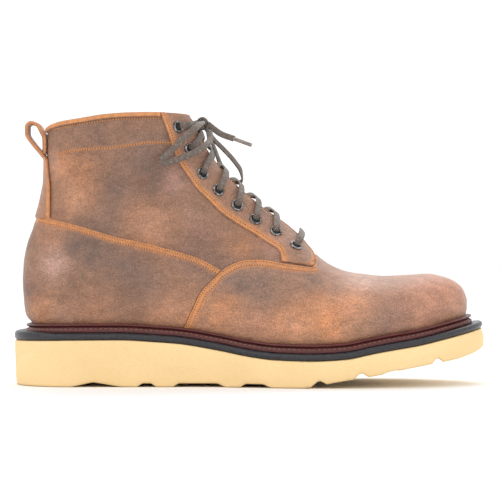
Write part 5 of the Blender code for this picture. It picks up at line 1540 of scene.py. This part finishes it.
def eyelet_tree():
    """The nodes that set a rolled ring with a dark hole on each point, facing along its normal."""
    tree, start, end = shape_tree("eyelets", ("Ring radius", "Roll radius", "Hole radius"), ("Metal", "Dark"))
    curves = []
    for radius, count in (("Ring radius", 40), ("Roll radius", 14)):
        sockets = {"Resolution": count, "Radius": start[radius]}
        curves.append(add_node(tree, "GeometryNodeCurvePrimitiveCircle", sockets).outputs["Curve"])
    tube = add_node(tree, "GeometryNodeCurveToMesh", {"Curve": curves[0], "Profile Curve": curves[1]})
    sockets = {"Vertices": 28, "Depth": 0.0004, "Radius": start["Hole radius"]}
    disc = add_node(tree, "GeometryNodeMeshCylinder", sockets)
    both = together(tree, [coated(tree, tube.outputs["Mesh"], start["Metal"]),
                           coated(tree, disc.outputs["Mesh"], start["Dark"])])
    spots = add_node(tree, "GeometryNodeMeshToPoints", {"Mesh": start["Geometry"]})
    facing = add_node(tree, "GeometryNodeInputNamedAttribute", {"Name": "facing"}, data_type="FLOAT_VECTOR")
    sockets = {"Vector": facing.outputs["Attribute"]}
    turn = add_node(tree, "FunctionNodeAlignRotationToVector", sockets, axis="Z")
    rings = set_on(tree, spots.outputs["Points"], both, turn.outputs["Rotation"])
    feed(tree, end, {"Geometry": rings})
    return tree


def surface_at(x, z, side):
    """A point of the reference surface and its normal."""
    base = on_upper(x, z, side, 0.0)
    return base, unit(on_upper(x, z, side, 0.001) - base)


eyelet_sides = side_view(eyelet_places)
eyelet_spots, eyelet_ways, eyelet_nodes = [], [], []
for side, word in ((outer, "outer"), (inner, "inner")):
    for number, (x, z) in enumerate(eyelet_sides, 1):
        base, normal = surface_at(x, z, side)
        eyelet_spots.append(base + normal * 0.0003)
        eyelet_ways.append(normal)
        eyelet_nodes.append("eyelet_%s_%d" % (word, number))
source_mesh = bpy.data.meshes.new("eyelet_spots")
source_mesh.from_pydata([tuple(spot) for spot in eyelet_spots], [], [])
attribute = source_mesh.attributes.new("facing", "FLOAT_VECTOR", "POINT")
attribute.data.foreach_set("vector", np.array(eyelet_ways, np.float32).ravel())
source = add_object("eyelet_spots", source_mesh)
values = {"Ring radius": (eyelet_width + eyelet_hole) / 4 + 0.0002, "Roll radius": 0.00082,
          "Hole radius": eyelet_hole / 2 + 0.0003, "Metal": gunmetal, "Dark": eyelet_hole_shade}
eyelets = settled("eyelet_rings", source, eyelet_tree(), values)
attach(eyelets, "root")
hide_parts(*eyelet_nodes)

# Laces
# One flat braided lace, taupe brown with a pale fleck. It runs as a bar between the lowest eyelets,
# crosses over the tongue through the others, and comes out of the top pair to the bow.
lace_width = 0.0042
lace_thick = 0.0012
lace_fit = 0.0010
lace_cloth, tree, shader = nodes_of("lace_cloth")
along_lace = add_node(tree, "ShaderNodeUVMap", uv_map="lace").outputs["UV"]
yarns = []
for lean in (1.0, -1.0):
    sockets = {"Vector": stretched(tree, along_lace, (lean, 1.0, 1.0)), "Scale": 420.0, "Distortion": 0.4,
               "Detail": 1.0}
    yarn = add_node(tree, "ShaderNodeTexWave", sockets, wave_type="BANDS", bands_direction="DIAGONAL")
    yarns.append(yarn.outputs["Fac"])
braid = product(tree, yarns[0], yarns[1], "MAXIMUM")
fleck = noise_at(tree, object_place(tree), 520.0, 4.0, 0.6)
# The braid is darker in the grooves between its yarns: painted shade there, over the lace's own taupe brown.
colour = blended(tree, braid, (0.034, 0.024, 0.018), (0.150, 0.108, 0.083))
colour = blended(tree, ranged(tree, fleck, 0.54, 0.70, 0.0, 0.60), colour, (0.30, 0.24, 0.195))
colour = blended(tree, ranged(tree, fleck, 0.46, 0.30, 0.0, 0.45), colour, (0.035, 0.026, 0.020))
feed(tree, shader, {
    "Base Color": colour, "Normal": raised(tree, braid, 0.00022, raised(tree, fleck, 0.0002)),
    "Roughness": 0.58, "Sheen Weight": 0.25})


def flat_lace(name, points, normals, width=lace_width, thick=lace_thick, finish=lace_cloth, power=3.0):
    """A flat lace with rounded edges along points, with its width square to the normals."""
    points = np.asarray(points, float)
    way = unit(np.gradient(points, axis=0))
    wide = unit(np.cross(way, normals))
    high = np.cross(wide, way)
    turns = np.linspace(0, 2 * math.pi, 17)[:-1]
    flat = np.sign(np.cos(turns)) * np.abs(np.cos(turns)) ** (2 / power) * width / 2
    deep = np.sign(np.sin(turns)) * np.abs(np.sin(turns)) ** (2 / power) * thick / 2
    ring = points[:, None] + wide[:, None] * flat[None, :, None] + high[:, None] * deep[None, :, None]
    count = len(turns)
    last = len(points) - 1
    faces = ring_faces(len(points), count)
    faces.append(list(range(count)))
    faces.append([last * count + k for k in reversed(range(count))])
    piece = add_mesh(name, ring.reshape(-1, 3), faces, [finish], 80)
    run = np.concatenate([[0.0], np.cumsum(np.linalg.norm(np.diff(points, axis=0), axis=1))])
    uv = piece.data.uv_layers.new(name="lace")
    spots = np.column_stack([np.tile(flat + deep, len(points)), np.repeat(run, count)])
    corner = np.zeros(len(piece.data.loops), int)
    piece.data.loops.foreach_get("vertex_index", corner)
    uv.data.foreach_set("uv", spots[corner].astype(np.float32).ravel())
    return piece


def over_throat(places, widths, lifts):
    """Points over the throat with normals of the surface. Width is negative on the outer side."""
    spots = below_ridge(places, np.maximum(np.abs(widths), 1e-5))
    points, normals = [], []
    for (x, z), width, lift in zip(spots, widths, lifts):
        side = outer if width < 0 else inner
        point = on_upper(x, z, side, lift, abs(width) < 1e-6)
        points.append(point)
        normals.append(on_upper(x, z, side, lift + 0.001, abs(width) < 1e-6) - point)
    return np.array(points), unit(np.array(normals))


throat_places = [path_place(throat_path, spot) for spot in eyelet_sides]
eyelet_reach = [float(half_width(x, z)) for x, z in eyelet_sides]
above = fit + eyelet_thick + lace_fit + lace_thick / 2


def lace_bar(row, middle_place, sag):
    """A straight lace between the two eyelets of a row, out of one hole and into the other."""
    reach, place = eyelet_reach[row], throat_places[row]
    shares = np.linspace(-1, 1, 61)
    places = middle_place + (place - middle_place) * np.abs(shares) ** 1.5
    dip = ease(np.abs(shares), 0.80, 1.0)
    lifts = above - sag * (1 - ease(np.abs(shares), 0.0, 0.45)) - dip * (above + 0.0004)
    return over_throat(places, shares * reach, lifts)


def lace_strand(start, end, gap, side, reach):
    """A lace out of one eyelet's hole, across the throat and under the other facing."""
    # Columns: share of the way along the throat, signed width, lift
    route = smooth_path([
        (0.0, side * reach, -0.0006), (0.07, side * (reach - 0.0014), above),
        (0.44, side * (gap + 0.002), 0.92 * above), (0.57, side * gap * 0.7, 0.62 * above),
        (0.74, 0.0, 0.3 * above + side * 0.0007), (0.91, -side * (gap - 0.7 * lace_width), -0.2 * above),
        (1.00, -side * (gap + 0.002), -0.0046)])
    steps = route(np.linspace(0, 1, 44))
    return over_throat(start + (end - start) * steps[:, 0], steps[:, 1], steps[:, 2])


def joined(name, pieces):
    """Several meshes made one object."""
    bpy.ops.object.select_all(action="DESELECT")
    for piece in pieces:
        piece.select_set(True)
    bpy.context.view_layer.objects.active = pieces[0]
    bpy.ops.object.join()
    pieces[0].name = name
    return pieces[0]


# The lowest bar bows a little up the throat at its middle
bar_middle = 0.72 * throat_places[-1] + 0.28 * throat_places[-2]
bar_low = flat_lace("lace_bar_low_braid", *lace_bar(len(eyelet_sides) - 1, bar_middle, 0.0))
# The top strands end lower than their eyelets, under the knot
top_reach = 0.72
crossings = []
for k in range(len(eyelet_sides) - 2):
    start, end = throat_places[k + 1], throat_places[k]
    if k == 0:
        end = start + top_reach * (end - start)
    gap = half_gap_at((start + end) / 2)
    for side in (outer, inner):
        crossings.append(flat_lace("strand", *lace_strand(start, end, gap, side, eyelet_reach[k + 1])))
lace_run = joined("lace_crossings_braid", [bar_low] + crossings)
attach(lace_run, "root")
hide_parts("lace_bar_low", *["lace_crossing_%d" % (k + 1) for k in range(len(eyelet_sides) - 2)])

# Bow
# The two ends come out of the top eyelets to a knot on the throat, with one loop down the outer side,
# one hanging in front, and the ends with their film tips.
knot_seat = (-0.0345, 0.1668)
knot_sag = 0.0029
knot_centre = np.array([-0.0311, -0.0010, 0.1686])
lace_routes = {
    "lace_loop_outer": [
        (-0.0315, -0.0070, 0.1692), (-0.0310, -0.0155, 0.1686), (-0.0343, -0.0245, 0.1652),
        (-0.0415, -0.0310, 0.1588), (-0.0475, -0.0362, 0.1522), (-0.0530, -0.0392, 0.1468),
        (-0.0556, -0.0402, 0.1440), (-0.0535, -0.0400, 0.1420), (-0.0494, -0.0385, 0.1432),
        (-0.0430, -0.0358, 0.1455), (-0.0363, -0.0318, 0.1485), (-0.0292, -0.0265, 0.1530),
        (-0.0256, -0.0165, 0.1580), (-0.0264, -0.0070, 0.1634)],
    "lace_loop_front": [
        (-0.0285, 0.0000, 0.1655), (-0.0235, 0.0020, 0.1585), (-0.0185, 0.0035, 0.1535),
        (-0.0101, 0.0055, 0.1444), (-0.0059, 0.0085, 0.1379), (-0.0050, 0.0140, 0.1330),
        (-0.0075, 0.0190, 0.1300), (-0.0113, 0.0225, 0.1302), (-0.0155, 0.0240, 0.1342),
        (-0.0192, 0.0235, 0.1420), (-0.0225, 0.0190, 0.1510), (-0.0255, 0.0125, 0.1588),
        (-0.0286, 0.0043, 0.1668)],
    "lace_end_front": [
        (-0.0358, 0.0034, 0.1690), (-0.0318, 0.0010, 0.1694), (-0.0278, -0.0024, 0.1684),
        (-0.0240, -0.0045, 0.1655), (-0.0185, -0.0070, 0.1616), (-0.0102, -0.0090, 0.1585)],
    "lace_end_inner": [
        (-0.0296, -0.0010, 0.1694), (-0.0306, 0.0048, 0.1702), (-0.0322, 0.0140, 0.1695),
        (-0.0372, 0.0245, 0.1660), (-0.0412, 0.0310, 0.1605)]}
# The way each flat lace faces
lace_faces = {"lace_loop_outer": (0.0, -1.0, 0.15), "lace_loop_front": (0.6, -0.6, 0.4),
              "lace_end_front": (0.15, -1.0, 0.35), "lace_end_inner": (-0.2, 0.1, 1.0)}
bar_top = flat_lace("lace_bar_top_braid", *lace_bar(0, path_place(throat_path, knot_seat), knot_sag))
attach(bar_top, "root")
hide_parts("lace_bar_top")


def knot_wrap(centre, first, second, radii, lean):
    """One turn of lace round the knot, in the plane of two directions."""
    turns = np.linspace(0, 2 * math.pi, 40)
    first, second = np.array(first, float), np.array(second, float)
    out = np.cos(turns)[:, None] * first + np.sin(turns)[:, None] * second
    points = centre + np.cos(turns)[:, None] * first * radii[0] + np.sin(turns)[:, None] * second * radii[1]
    points = points + np.linspace(-0.5, 0.5, 40)[:, None] * np.array(lean)
    return flat_lace("wrap", points, out, width=0.0036, thick=0.0011)


wraps = [
    knot_wrap(knot_centre + np.array([0.0002, 0.0, 0.0001]), (1, 0, 0), (0, 0, 1),
              (0.0034, 0.0038), (0, 0.0016, 0)),
    knot_wrap(knot_centre + np.array([-0.0004, -0.0028, 0.0002]), (0.92, 0, -0.38), (0.38, 0, 0.92),
              (0.0028, 0.0032), (0, 0.0012, 0)),
    knot_wrap(knot_centre + np.array([0.0004, 0.0028, 0.0]), (0.92, 0, 0.38), (-0.38, 0, 0.92),
              (0.0022, 0.0026), (0, 0.0012, 0)),
    knot_wrap(knot_centre + np.array([0.0, 0.0, 0.0003]), (0, 1, 0), (0.55, 0, 0.83),
              (0.0044, 0.0032), (0.001, 0, 0))]
knot = joined("lace_knot_wraps", wraps)
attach(knot, "root")
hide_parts("lace_knot")

tip_length = 0.0120
tip_gap = 0.0004
lace_film, tree, shader = nodes_of("lace_film")
wrap = noise_at(tree, stretched(tree, object_place(tree), (1.0, 1.0, 4.0)), 500.0, 3.0)
colour = blended(tree, ranged(tree, wrap, 0.35, 0.65), (0.12, 0.088, 0.074), (0.27, 0.22, 0.195))
feed(tree, shader, {"Base Color": colour, "Normal": raised(tree, wrap, 0.0001), "Roughness": 0.32,
                    "Coat Weight": 0.4})
for name, route in lace_routes.items():
    path = smooth_path(route)
    line = path(np.linspace(0, 1, 24 if "end" in name else 90))
    length = float(np.linalg.norm(np.diff(line, axis=0), axis=1).sum())
    normals = np.tile(np.array(lace_faces[name]), (len(line), 1))
    way = unit(np.gradient(line, axis=0))
    normals = unit(normals - way * (normals * way).sum(axis=1, keepdims=True))
    piece = flat_lace(name + "_braid", line, normals)
    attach(piece, "root")
    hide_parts(name)
    if "end" in name:
        tip_name = name.replace("end", "tip")
        before, near = np.array(route[-2]), np.array(route[-1])
        tip_line = near + unit(near - before) * np.linspace(-0.0006, tip_gap + tip_length, 14)[:, None]
        tip_normals = np.tile(normals[-1], (14, 1))
        tip = flat_lace(tip_name + "_film", tip_line, tip_normals, width=0.0026, thick=0.0018,
                        finish=lace_film, power=2.0)
        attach(tip, "root")
        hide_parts(tip_name)
    tuple(map(float, line[0]))
    [tuple(map(float, spot)) for spot in line]
